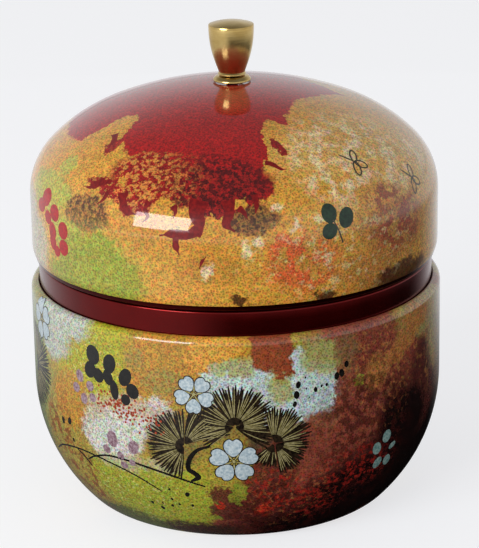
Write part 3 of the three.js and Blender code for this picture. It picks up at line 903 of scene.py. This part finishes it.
# %% Seat ring under the knob
seat_outside, seat_bottom, seat_top = extent("knob_seat_ring")
pen = closed_section([(KNOB_BORE, seat_bottom), (seat_outside - 0.12, seat_bottom),
                      (seat_outside, seat_bottom + 0.12), (seat_outside, seat_bottom + 0.42),
                      (seat_outside - 0.1, seat_bottom + 0.56), (seat_outside - 0.55, seat_top - 0.2),
                      (3.85, seat_top - 0.03), (3.75, seat_top), (KNOB_BORE, seat_top)])
turn_round(pen, 96)
seat = finish_piece(pen, "knob_seat", "lid", [brass], 40)
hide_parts("knob_seat_ring")

# %% [markdown]
# ## Fasteners
#
# From inside, a cross-slot screw with a washer holds the knob, and a rivet with a washer holds the
# little knob of the inner lid. The cross is cut by slicing the head's face along the slot's sides
# and pushing the cross-shaped part of it in, a little smaller at the bottom than at the top.

# %% Washers
def washer(node, name, body, bore):
    outside, bottom, top = extent(node)
    soft = 0.08
    pen = closed_section([(bore, bottom + soft), (bore + soft, bottom), (outside - soft, bottom),
                          (outside, bottom + soft), (outside, top - soft), (outside - soft, top),
                          (bore + soft, top), (bore, top - soft)])
    turn_round(pen, 72)
    piece = finish_piece(pen, name, body, [zinc], 50)
    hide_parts(node)


washer("knob_washer", "knob_screw_washer", "lid", 1.8)
washer("plug_washer", "plug_rivet_washer", "plug_lid", 1.7)

# %% Screw and rivet
screw_head, screw_bottom, screw_top = extent("knob_screw")
SCREW_RADIUS, HEAD_HEIGHT, THREAD_PITCH, THREAD_DEPTH = 1.5, 2.2, 0.5, 0.15
head_top = screw_bottom + HEAD_HEIGHT
threads = []
height = head_top + 0.4
while height + THREAD_PITCH < screw_top - 0.3:
    threads += [(SCREW_RADIUS - THREAD_DEPTH, height), (SCREW_RADIUS, height + THREAD_PITCH / 2)]
    height += THREAD_PITCH
pen = closed_section([(0, screw_bottom), (1.9, screw_bottom), (2.3, screw_bottom + 0.18),
                      (2.62, screw_bottom + 0.5), (screw_head, screw_bottom + 1.1),
                      (screw_head, head_top - 0.1), (screw_head - 0.1, head_top),
                      (SCREW_RADIUS, head_top)] + threads
                     + [(SCREW_RADIUS - 0.3, screw_top), (0, screw_top)])
turn_round(pen, 64)
CROSS_WIDTH, CROSS_REACH, CROSS_DEPTH = 0.32, 1.45, 1.1
for place_on_axis in (-CROSS_REACH, -CROSS_WIDTH, CROSS_WIDTH, CROSS_REACH):
    for axis in ((1, 0, 0), (0, 1, 0)):
        flat_head = [f for f in pen.faces if f.calc_center_median().z < screw_bottom + 1e-4]
        around = {e for f in flat_head for e in f.edges} | {v for f in flat_head for v in f.verts}
        bmesh.ops.bisect_plane(pen, geom=flat_head + list(around), dist=1e-6,
                               plane_co=Vector(axis) * place_on_axis, plane_no=axis)


def in_cross(face):
    x, y, z = (abs(c) for c in face.calc_center_median())
    crossing = min(x, y) < CROSS_WIDTH and max(x, y) < CROSS_REACH
    return crossing and z < screw_bottom + 1e-4


cross = [f for f in pen.faces if in_cross(f)]
sunk = bmesh.ops.extrude_face_region(pen, geom=cross)["geom"]
bmesh.ops.delete(pen, geom=[f for f in cross if f.is_valid], context="FACES_ONLY")
floor_verts = [v for v in sunk if isinstance(v, bmesh.types.BMVert)]
bmesh.ops.translate(pen, vec=(0, 0, CROSS_DEPTH), verts=floor_verts)
bmesh.ops.scale(pen, vec=(0.7, 0.7, 1), verts=floor_verts)
bmesh.ops.recalc_face_normals(pen, faces=pen.faces[:])
screw = finish_piece(pen, "knob_cross_screw", "lid", [zinc], 30)
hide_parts("knob_screw")

rivet_head, rivet_bottom, rivet_top = extent("plug_rivet")
pen = closed_section([(0, rivet_bottom), (1.1, rivet_bottom + 0.04), (1.8, rivet_bottom + 0.16),
                      (2.35, rivet_bottom + 0.42), (rivet_head, rivet_bottom + 0.7),
                      (rivet_head - 0.05, rivet_bottom + 0.9), (1.4, rivet_bottom + 0.9),
                      (1.4, rivet_top - 0.2), (1.2, rivet_top), (0, rivet_top)])
turn_round(pen, 48)
rivet = finish_piece(pen, "plug_knob_rivet", "plug_lid", [zinc], 40)
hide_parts("plug_rivet")

# %% [markdown]
# ## Plug lid
#
# Under the dome a flat pan closes the neck and keeps the tea dry. Two pressed rings stiffen its
# floor. The pen draws its underside, and the sheet's thickness grows upwards.

# %% Plug pan
PLUG_WALL, PLUG_CORNER, RIVET_HOLE = 47.9, 1.2, 1.7
flange_under = plug_top - SHEET
pen, path = pen_down(RIVET_HOLE, plug_under)
RING_SLOPE = [(0, 0), (0.6, 0.12), (1.1, 0.42), (1.7, 0.55)]  # mm in from the foot, mm up
for ring_from, ring_to in ((17, 21), (32, 36)):
    for inwards, up in RING_SLOPE:
        run(pen, path, ring_from + inwards, plug_under + up)
    for inwards, up in reversed(RING_SLOPE):
        run(pen, path, ring_to - inwards, plug_under + up)
run(pen, path, PLUG_WALL - PLUG_CORNER, plug_under)
bend(pen, path, (PLUG_WALL - PLUG_CORNER, plug_under + PLUG_CORNER), 90, 8)
run(pen, path, PLUG_WALL, flange_under - 0.3)
bend(pen, path, (PLUG_WALL + 0.3, flange_under - 0.3), -90, 5)
run(pen, path, plug_radius, flange_under)
turn_round(pen, ROUND_STEPS)
pan = finish_piece(pen, "plug_lid_pan", "plug_lid", [bright_tin], 40)
give_thickness(pan, 0)
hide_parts("plug_pan")

# %% Plug knob
plug_knob_radius, plug_knob_bottom, plug_knob_top = extent("plug_knob")
PLUG_KNOB_WAIST, PLUG_BORE = 4.2, 1.7
head_height = 0.45 * (plug_knob_top - plug_knob_bottom)
head_middle = plug_knob_top - head_height / 2
stem = [(0.9 * plug_knob_radius, plug_knob_bottom), (0.92 * plug_knob_radius, plug_knob_bottom + 0.2),
        (0.88 * plug_knob_radius, plug_knob_bottom + 0.5), (4.75, plug_knob_bottom + 1.1),
        (4.35, plug_knob_bottom + 1.9), (PLUG_KNOB_WAIST, plug_knob_bottom + 2.8),
        (4.1, plug_knob_bottom + 3.9)]
head = [(plug_knob_radius * cos(radians(a)), head_middle + head_height / 2 * sin(radians(a)))
        for a in range(-46, 90, 8)]
bore_top = plug_knob_bottom + 6.3
pen = closed_section([(0, bore_top), (PLUG_BORE, bore_top), (PLUG_BORE, plug_knob_bottom)]
                     + stem + head + [(0, plug_knob_top)])
turn_round(pen, 96)
plug_knob = finish_piece(pen, "plug_lid_knob", "plug_lid", [brass], 30)
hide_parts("plug_knob")

# %% [markdown]
# ## Ink
#
# The flowers and leaves were printed last, in thick enamel ink with crisp edges. Each is drawn
# flat, in millimetres round its own middle, and then wrapped on the skin: a step to the right is
# a step round the tin, and a step up follows the sheet's curve. Most inks have a height of their
# own, a few thousandths of a millimetre apart, so where two cross one lies on top.

# %% Wrap flat drawings on a skin
def measure_skin(skin):
    """(distance along the skin, r, z) for each point, from the bottom up."""
    rows = [(0.0, *skin[0])]
    for (r0, z0), (r1, z1) in zip(skin, skin[1:]):
        rows.append((rows[-1][0] + hypot(r1 - r0, z1 - z0), r1, z1))
    return rows


def skin_point(rows, distance):
    """(r, z, outward r, outward z) at a distance along the skin."""
    for (d0, r0, z0), (d1, r1, z1) in zip(rows, rows[1:]):
        if distance <= d1:
            break
    t = (distance - d0) / max(d1 - d0, 1e-9)
    length = max(hypot(r1 - r0, z1 - z0), 1e-9)
    return r0 + (r1 - r0) * t, z0 + (z1 - z0) * t, (z1 - z0) / length, -(r1 - r0) / length


def distance_at(rows, z):
    """Distance along the skin at a height. The base panel isn't counted."""
    for (d0, r0, z0), (d1, r1, z1) in zip(rows, rows[1:]):
        if z0 <= z <= z1 and r0 > STAND_OUTSIDE - 1:
            return d0 + (d1 - d0) * (z - z0) / max(z1 - z0, 1e-9)
    return rows[-1][0]


body_rows = measure_skin(body_skin)
lid_rows = measure_skin(lid_skin)


def over_skin(skin_spot, angle, lift):
    """The place at a lift in mm over a skin_point, at an angle round the tin."""
    r, z, out_r, out_z = skin_spot
    r, z = r + out_r * lift, z + out_z * lift
    return r * sin(angle), -r * cos(angle), z


def wrap(verts, rows, azimuth, height, tilt, lift):
    """Moves flat vertices, in mm, to their place on the skin. The tilt is anticlockwise."""
    start = distance_at(rows, height)
    c, s = cos(radians(tilt)), sin(radians(tilt))
    for v in verts:
        x, y = v.co.x * c - v.co.y * s, v.co.x * s + v.co.y * c
        skin_spot = skin_point(rows, start + y)
        v.co = over_skin(skin_spot, radians(azimuth) + x / skin_spot[0], lift)


# %% [markdown]
# Four shapes are enough for the whole print: a petal, which is a disc pinched at its foot, a plain
# leaf or dot, a ribbon that follows a line, and a closed loop. A small disc is a fan of triangles.
# A larger one needs points inside it, or its middle would sink through the curve of the tin.

# %% Shapes to print with
COARSE = 1.4  # mm: a shape narrower than this needs no points inside it


def disc(ink, width, height, sides=20):
    """An ellipse. A wide one is a grid squeezed into a circle, so that it can bend both ways."""
    if min(width, height) < COARSE:
        verts = bmesh.ops.create_circle(ink, cap_ends=True, cap_tris=True, segments=sides,
                                        radius=0.5)["verts"]
    else:
        verts = bmesh.ops.create_grid(ink, x_segments=sides // 4, y_segments=sides // 4,
                                      size=1)["verts"]
        for v in verts:
            x, y = v.co.x, v.co.y
            v.co = (x * sqrt(1 - y * y / 2) / 2, y * sqrt(1 - x * x / 2) / 2, 0)
    bmesh.ops.scale(ink, vec=(width, height, 1), verts=verts)
    return verts


NOTCH = 0.14  # depth of the notch in a petal's tip, as a share of its length


def petal(ink, width, length, foot, grow=0.0):
    """A petal that points up from a foot above the origin. Grow widens it all round."""
    verts = disc(ink, 2, 2, 40)
    for v in verts:
        t = (v.co.y + 1) / 2
        x = v.co.x / 2 * width * (0.62 + 0.62 * t - 0.18 * t * t)
        dip = NOTCH * length * max(0, 1 - abs(v.co.x) / 0.34) * max(0, t - 0.6) / 0.4
        v.co = (x * (1 + 2 * grow / width), foot + length * t - dip + (t - 0.5) * 2 * grow, 0)
    return verts


def smooth_line(points, per_span=8):
    """A smooth line through the points."""
    ends = [points[0], *points, points[-1]]
    line = []
    for a, b, c, d in zip(ends, ends[1:], ends[2:], ends[3:]):
        for step in range(per_span):
            t = step / per_span
            line.append(tuple(
                0.5 * (2 * q + (r - p) * t + (2 * p - 5 * q + 4 * r - s) * t * t
                       + (3 * q - p - 3 * r + s) * t ** 3) for p, q, r, s in zip(a, b, c, d)))
    return line + [points[-1]]


def ribbon(ink, line, widths):
    """A ribbon along a flat line: a grid as long as the line, and four faces wide if it's wide."""
    steps = len(line) - 1
    verts = bmesh.ops.create_grid(ink, x_segments=steps, y_segments=1 if max(widths) < COARSE else 4,
                                  size=1)["verts"]
    for v in verts:
        i = round((v.co.x + 1) / 2 * steps)
        before, after = Vector(line[max(i - 1, 0)]), Vector(line[min(i + 1, steps)])
        side = (after - before).orthogonal().normalized()
        share = i / steps * (len(widths) - 1)
        low = min(int(share), len(widths) - 2)
        half = (widths[low] + (widths[low + 1] - widths[low]) * (share - low)) / 2
        v.co = (*(Vector(line[i]) + side * half * v.co.y), 0)
    return verts


LOOP_STEPS = 24


def loop_line(width, height):
    turns = [tau * i / LOOP_STEPS for i in range(LOOP_STEPS + 1)]
    return [(width / 2 * sin(turn), height / 2 * (1 - cos(turn))) for turn in turns]


INK_FILM = 0.012  # mm


def print_ink(ink, name, body, material):
    """Finishes a layer of ink: a closed film with faces that point outwards."""
    bmesh.ops.recalc_face_normals(ink, faces=ink.faces[:])
    flipped = [f for f in ink.faces if f.normal.dot(f.calc_center_median() * Vector((1, 1, 0))) < 0]
    bmesh.ops.reverse_faces(ink, faces=flipped)
    bmesh.ops.solidify(ink, geom=ink.faces[:], thickness=INK_FILM)
    return finish_piece(ink, name, body, [material], 50)


def front_and_back(azimuth):
    """The print comes twice round the tin: at the front, and mirrored at the back."""
    return azimuth, 180 - azimuth


def print_discs(ink, table, rows, lift, wider=1, longer=1):
    """Lays discs of (azimuth, height, width, length, tilt) on the tin."""
    for azimuth, height, width, length, tilt in table:
        for at in front_and_back(azimuth):
            wrap(disc(ink, width * wider, length * longer), rows, at, height, tilt, lift)


# %% [markdown]
# Enamel ink is opaque and glossy. One recipe makes every colour: two close tones that a noise
# mixes, as ink that lies unevenly, and a clear varnish. The recipe reads Object coordinates, so
# the grain stands still on the tin.

# %% Ink colours
def enamel_ink(name, hex_thin, hex_full, patch=1.0):
    """Patch is the size in mm of the ink's uneven places."""
    material, tree, shader = new_material(name)
    place = add(tree, "ShaderNodeTexCoord")
    lies = add(tree, "ShaderNodeTexNoise", {"Vector": place.outputs["Object"],
                                            "Scale": 1 / (patch * MM), "Detail": 3})
    sharper = add(tree, "ShaderNodeMapRange", {"Value": lies.outputs["Fac"], 1: 0.35, 2: 0.65})
    two_tones(tree, shader, sharper.outputs[0], hex_thin, hex_full)
    rough_between(tree, shader, lies.outputs["Fac"], 0.24, 0.38)
    varnish(shader, 0.08, 1.45)
    return material


black_ink = enamel_ink("black_enamel_ink", "100d0c", "1d1a17")
pine_ink = enamel_ink("pine_brown_enamel_ink", "120d09", "33271a", 0.7)
pale_needle_ink = enamel_ink("pale_needle_enamel_ink", "857a48", "b3a878", 0.7)
blossom_ink = enamel_ink("pale_blue_enamel_ink", "9fb4c0", "d2dde0", 0.6)
mauve_ink = enamel_ink("mauve_enamel_ink", "7d5a66", "b39aa2", 0.6)
teal_ink = enamel_ink("sea_green_enamel_ink", "5f8a85", "a3bcb4", 0.6)
leaf_red_ink = enamel_ink("leaf_red_enamel_ink", "9c0a0c", "c31216", 0.8)
maple_red_ink = enamel_ink("maple_red_enamel_ink", "6c0b0f", "8f1513", 0.8)
clover_ink = enamel_ink("clover_green_enamel_ink", "0c2416", "1d3d25", 0.8)
grey_ink = enamel_ink("grey_line_enamel_ink", "38342a", "565040", 0.6)
gold_ink = enamel_ink("old_gold_enamel_ink", "8f8548", "c3bb86", 0.6)
dot_ink = enamel_ink("brick_red_enamel_ink", "8c2c18", "b54a2a", 0.5)

# %% [markdown]
# ## Pine, branches and seeds
#
# Pine needles stand in fans. Each needle is one ribbon that is thin at the foot and blunt at the
# tip, bent slightly, and its angle and length vary by a fixed random seed, as a printer's artist
# would draw them by hand. Beside about three in four lies a thinner pale one.

# %% Pine fans
chance = random.Random(11)
PINE_FANS = [
    # azimuth, height, first and last direction in degrees, needles, length, bow in mm, foot
    (-14.6, 29.8, 92, 262, 36, 9.8, 0.0, 0.3),
    (-14.4, 30.2, 26, 88, 16, 11.6, 2.2, 0.3),
    (-1.0, 35.4, 22, 168, 34, 10.2, 0.0, 0.3),
    (-1.0, 35.2, -42, 18, 14, 9.6, -0.8, 0.3),
    (-1.2, 35.2, 172, 222, 11, 9.0, 0.6, 0.3),
    (9.4, 30.6, 8, 104, 23, 9.4, 0.3, 0.3),
    (9.6, 30.4, -80, 2, 19, 8.8, 0.0, 0.3),
    (9.2, 30.4, 214, 274, 11, 6.6, 0.0, 0.3),
    (-76, 38, -100, 100, 44, 11.5, 0.0, 0.3),
]


def needle(ink, direction, length, bow, foot, widths):
    reach = [foot + (length - foot) * i / 7 for i in range(8)]
    a = radians(direction)
    line = [(cos(a) * d + sin(a) * bow * (d / length) ** 2,
             sin(a) * d - cos(a) * bow * (d / length) ** 2) for d in reach]
    return ribbon(ink, line, widths)


dark_needles, pale_needles = bmesh.new(), bmesh.new()
for azimuth, height, first, last, needles, length, bow, foot in PINE_FANS:
    for at in front_and_back(azimuth):
        for i in range(needles):
            direction = first + (last - first) * (i + chance.uniform(-0.2, 0.2)) / (needles - 1)
            reach, curve_by = length * chance.uniform(0.9, 1.03), bow + chance.uniform(-0.2, 0.2)
            verts = needle(dark_needles, direction, reach, curve_by, foot,
                           [0.1, 0.28, 0.46, 0.56, 0.62, 0.58, 0.3])
            wrap(verts, body_rows, at, height, 0, 0.014)
            if chance.random() < 0.75:
                verts = needle(pale_needles, direction + (last - first) / needles / 2,
                               reach * chance.uniform(0.7, 0.95), curve_by, 2.2,
                               [0.08, 0.18, 0.22, 0.2, 0.08])
                wrap(verts, body_rows, at, height, 0, 0.02)
print_ink(dark_needles, "pine_needles_dark", "caddy", pine_ink)
print_ink(pale_needles, "pine_needles_pale", "caddy", pale_needle_ink)

# %% Branches and stems
STEMS = [
    # lines of (azimuth, height), and widths along them in mm
    ([(-7.5, 30.2), (-11, 29), (-13.2, 26.6), (-13.8, 23.8), (-12.2, 22.6), (-11.2, 21.4),
      (-13.4, 20.2)], [0.5, 0.9, 1.2, 1.3, 1.3, 1.4, 0.5]),
    ([(-67, 17.4), (-60, 20.6), (-50, 22.4), (-40, 22)], [0.3, 0.5, 0.5, 0.45]),
    ([(-47.5, 20.2), (-44, 22), (-38, 23.6), (-30, 23.4), (-20, 21.6), (-9.5, 18.8)],
     [0.3, 0.5, 0.55, 0.6, 0.65, 0.4]),
    ([(-41, 22), (-34, 20.8), (-28, 18.8), (-22.5, 16)], [0.5, 0.5, 0.45, 0.3]),
    ([(-52, 22.2), (-49, 20.8), (-46.5, 18.6)], [0.3, 0.6, 0.5]),
    ([(-66, 40), (-70, 39), (-75, 37)], [0.4, 0.4, 0.3]),
]
MIDDLE = 30  # mm, the height from which a stem's line is measured
WALL = 52  # mm, the radius at which a step round the wall is measured


def flat_line(points):
    return [(radians(azimuth) * WALL, height - MIDDLE) for azimuth, height in points]


def wrap_line(verts, rows, mirrored, lift):
    """Wraps a drawing whose x is mm round the wall and y is mm over the middle height."""
    for v in verts:
        angle = v.co.x / WALL
        if mirrored:
            angle = pi - angle
        v.co = over_skin(skin_point(rows, distance_at(rows, MIDDLE + v.co.y)), angle, lift)


ink = bmesh.new()
for points, widths in STEMS:
    for mirrored in (False, True):
        verts = ribbon(ink, smooth_line(flat_line(points), 6), widths)
        wrap_line(verts, body_rows, mirrored, 0.018)
SEEDS = [(16, 44.8, 1.6), (15.5, 42.3, 1.8), (15, 40, 1.3), (20.8, 43, 1.2), (22.5, 43.7, 0.7),
         (24, 43.8, 0.8), (27, 45.5, 1.7), (28.5, 46, 1.8), (30, 48, 1.5), (18.2, 43.6, 0.5),
         (18, 46.4, 0.5), (19, 41.3, 0.4), (-15, 16, 1.4), (-20.2, 17, 0.7), (-20, 14, 0.8),
         (-14, 12.5, 0.9), (-18, 12.5, 0.8), (-20.4, 11.8, 0.9), (-24, 10.5, 1.2),
         (-27, 11.8, 1.0), (-23.4, 12.2, 0.6), (-56.6, 28.5, 1.7), (-53.2, 29.2, 1.9),
         (-52.6, 24.2, 1.1)]
for azimuth, height, size in SEEDS:
    for at in front_and_back(azimuth):
        verts = disc(ink, size * 0.8, size * 1.15, 14)
        wrap(verts, body_rows, at, height, chance.uniform(-25, 25), 0.018)
PETAL_SPRAY = [(-42, 49.2, 3.8, 4.6, 12), (-43.2, 45.2, 3.9, 3.4, 70), (-40.2, 44.3, 3.0, 3.4, 30),
               (-36.2, 48, 3.3, 4.6, -12), (-36.8, 44.4, 2.6, 3.6, 20), (-34.8, 41.6, 2.2, 4.6, 8),
               (-31.2, 45.4, 3.0, 4.4, -24), (-29, 42.2, 3.0, 3.6, 24), (-31.2, 39.7, 2.3, 2.6, 0)]
print_discs(ink, PETAL_SPRAY, body_rows, 0.018, 1.15, 1.1)
print_ink(ink, "stems_and_seeds", "caddy", black_ink)

# %% [markdown]
# ## Blossoms
#
# A blossom is five petals round a small star. The dark outline isn't a line: it is the same petal
# in dark ink, up to 0.3 mm larger all round, printed first. That is how a printer does it too.

# %% White blossoms
BLOSSOMS = [
    # azimuth, height, petal width, petal length, tilt of the first petal, foot of the petals
    (-11.6, 43.2, 4.0, 3.8, 33, 1.1), (-1.4, 26.2, 4.9, 4.7, 2, 1.3),
    (-68, 52, 4.6, 4.4, 10, 1.2),
]
OUTLINE = 0.28  # mm
lines, petals, stars = bmesh.new(), bmesh.new(), bmesh.new()
for azimuth, height, width, length, first, foot in BLOSSOMS:
    for at in front_and_back(azimuth):
        for i in range(5):
            turn = first + 72 * i
            wrap(petal(lines, width, length, foot, OUTLINE), body_rows, at, height, turn, 0.024)
            wrap(petal(petals, width, length, foot), body_rows, at, height, turn, 0.032)
            star = ribbon(lines, [(0, 0.1), (0, 1.2), (0, 2.6)], [0.5, 0.75, 0.2])
            wrap(star, body_rows, at, height, turn + 36, 0.038)
            star = ribbon(stars, [(0, 0.4), (0, 1.3), (0, 2.3)], [0.15, 0.42, 0.1])
            wrap(star, body_rows, at, height, turn + 36, 0.046)
        wrap(disc(stars, 0.8, 0.8, 12), body_rows, at, height, 0, 0.046)
print_ink(lines, "blossom_outlines", "caddy", pine_ink)
print_ink(petals, "blossom_petals", "caddy", blossom_ink)
print_ink(stars, "blossom_stars", "caddy", gold_ink)

# %% Mauve and sea-green flowers, red dots
MAUVE = [(-47.5, 42.6, 2.6, 3.2, 20), (-43.5, 40.8, 2.6, 2.6, -50), (-49.2, 39.2, 2.6, 2.6, 80),
         (-46, 37, 2.4, 2.8, 0), (-42.6, 38, 2.2, 2.4, 40), (-36.2, 28.6, 3.2, 4.4, 6),
         (-29.4, 27.6, 2.9, 3.8, -10), (-38.6, 25.4, 2.3, 2.4, 40), (-34, 24.4, 2.0, 2.6, 10),
         (-33.2, 22, 2.0, 2.2, 70), (-30.4, 23.2, 1.8, 1.8, 0)]
TEAL = [(44.6, 25.9, 2.9, 3.5, -8), (41.2, 23.4, 2.8, 3.6, 18), (42.6, 19, 2.7, 3.4, -24),
        (46.6, 18.7, 2.6, 3.2, 16), (47.6, 22.6, 1.6, 2.6, -60)]
mauve, teal, dots = bmesh.new(), bmesh.new(), bmesh.new()
print_discs(mauve, MAUVE, body_rows, 0.016)
print_discs(teal, TEAL, body_rows, 0.016)
for _ in range(120):
    azimuth = chance.gauss(-32, 6.5)
    height = 39 - 0.16 * (azimuth + 44) + chance.gauss(0, 1.7)
    if -45 < azimuth < -20:
        for at in front_and_back(azimuth):
            verts = disc(dots, 0.62, 0.66, 10)
            wrap(verts, body_rows, at, height, 0, 0.014)
print_ink(mauve, "mauve_flowers", "caddy", mauve_ink)
print_ink(teal, "sea_green_flower", "caddy", teal_ink)
print_ink(dots, "brick_red_dots", "caddy", dot_ink)

# %% [markdown]
# ## Ink on the lid
#
# The maple's trunk and twigs run down out of the crown. A spray of red leaves, a clover leaf and
# two small line drawings stand round it.

# %% Leaves and twigs of the lid
RED_LEAVES = [(-63.6, 84.2, 4.2, 3.6, 30), (-66.4, 81.7, 4.0, 2.9, 12), (-58, 81.5, 3.7, 3.4, -28),
              (-61.8, 79.6, 3.0, 2.8, 0), (-59.3, 76.7, 3.0, 3.6, 6), (-53.6, 78, 3.4, 3.7, -26),
              (-59.2, 74, 2.6, 3.3, 10), (-53.6, 73.7, 3.3, 3.3, -32), (-57, 72.1, 2.4, 2.2, 20)]
CLOVER = [(26, 85.6, 3.3, 3.9, 10), (31, 84, 3.3, 4.1, -22), (25.7, 81.5, 3.4, 3.1, 30)]
for name, shapes, material in (("red_leaves", RED_LEAVES, leaf_red_ink),
                               ("clover_leaves", CLOVER, clover_ink)):
    ink = bmesh.new()
    print_discs(ink, shapes, lid_rows, 0.018, 1.2, 1.24)
    print_ink(ink, name, "lid", material)

# %% Twigs of the maple, stems and line drawings
TWIGS = [
    # where it starts, its line in mm from there, widths
    (-9.6, 90, [(0, 0), (-0.6, -3), (0.3, -6), (-0.4, -8.6)], [4.4, 3.4, 2.5, 2.4]),
    (-9.6, 84, [(0.4, 0), (-2.4, -1.6), (-6.2, -1.6), (-9.4, -2.2)], [2.2, 2.1, 2.0, 0.4]),
    (-9.6, 84, [(-5.2, -1.4), (-5.4, -4.2), (-4.6, -6.6)], [2.2, 1.6, 0.3]),
    (-1.8, 90, [(0, 0), (0.4, -3), (-0.4, -5.6), (1.6, -7.4)], [3.2, 2.2, 2.2, 0.5]),
    (5.6, 91, [(0, 0), (0.4, -2.4), (0, -4.6)], [1.6, 1.0, 0.5]),
    (-7.6, 77.3, [(0, 0), (-1, -1.2), (-1.7, -3)], [0.2, 0.8, 0.2]),
    (-33, 90, [(0, 0), (0.8, -2.4), (2.4, -4.2), (5, -4.6)], [2.6, 2.2, 1.8, 0.4]),
    (-46.5, 91.4, [(0, 0), (1.8, -1.4), (4, -0.4), (6.5, 0.4)], [0.4, 1.8, 1.6, 1.2]),
    (30.8, 101.6, [(0, 0), (0.3, -2.2), (-0.3, -4.8)], [1.2, 0.8, 0.3]),
    (-41, 91.6, [(0, 0), (-2, -0.8), (-3.4, -2.4), (-6, -2.6)], [1.6, 1.1, 0.8, 0.2]),
    (-38, 90, [(0, 0), (-0.6, -2.2), (-2.2, -3.8)], [1.4, 1.0, 0.3]),
    (-24, 89, [(0, 0), (-0.8, -1.8), (0.2, -3.6), (-1, -5)], [1.8, 1.2, 0.9, 0.3]),
    (-17, 88.6, [(0, 0), (0.8, -1.4), (0.4, -3)], [1.6, 0.9, 0.3]),
    (1, 88.4, [(0, 0), (1.2, -1), (2.2, -2.8)], [1.6, 1.1, 0.3]),
    (10.4, 96.6, [(0, 0), (1.6, -0.6), (3.4, -2.2), (4.6, -2.6)], [1.4, 1.1, 0.8, 0.2]),
    (-52.6, 99.4, [(0, 0), (1.8, -1.8), (2.4, -4)], [1.8, 1.4, 0.3]),
]
ink = bmesh.new()
for azimuth, height, line, widths in TWIGS:
    for at in front_and_back(azimuth):
        jagged = [w * chance.uniform(0.75, 1.25) for w in widths for _ in (0, 1)]
        wrap(ribbon(ink, smooth_line(line, 7), jagged), lid_rows, at, height, 0, 0.012)
print_ink(ink, "maple_twigs", "lid", maple_red_ink)

ink = bmesh.new()
for azimuth, height in ((41.4, 94.4), (60.8, 87.8)):
    for at in front_and_back(azimuth):
        for width, length, tilt in ((1.7, 3.6, -24), (1.9, 3.4, -128), (1.8, 3.9, 164)):
            loop = ribbon(ink, loop_line(width, length), [0.42, 0.42])
            wrap(loop, lid_rows, at, height, tilt, 0.016)
        stem = ribbon(ink, smooth_line([(0, 0), (-1.6, 1.6), (-3, 3)]), [0.3, 0.5, 0.3])
        wrap(stem, lid_rows, at, height, 0, 0.016)
for at in front_and_back(28.2):
    stem = ribbon(ink, smooth_line([(-1.2, 2.4), (0, 0), (1.2, -3.4)]), [0.3, 0.4, 0.4])
    wrap(stem, lid_rows, at, 81.6, 0, 0.016)
print_ink(ink, "line_drawings", "lid", grey_ink)
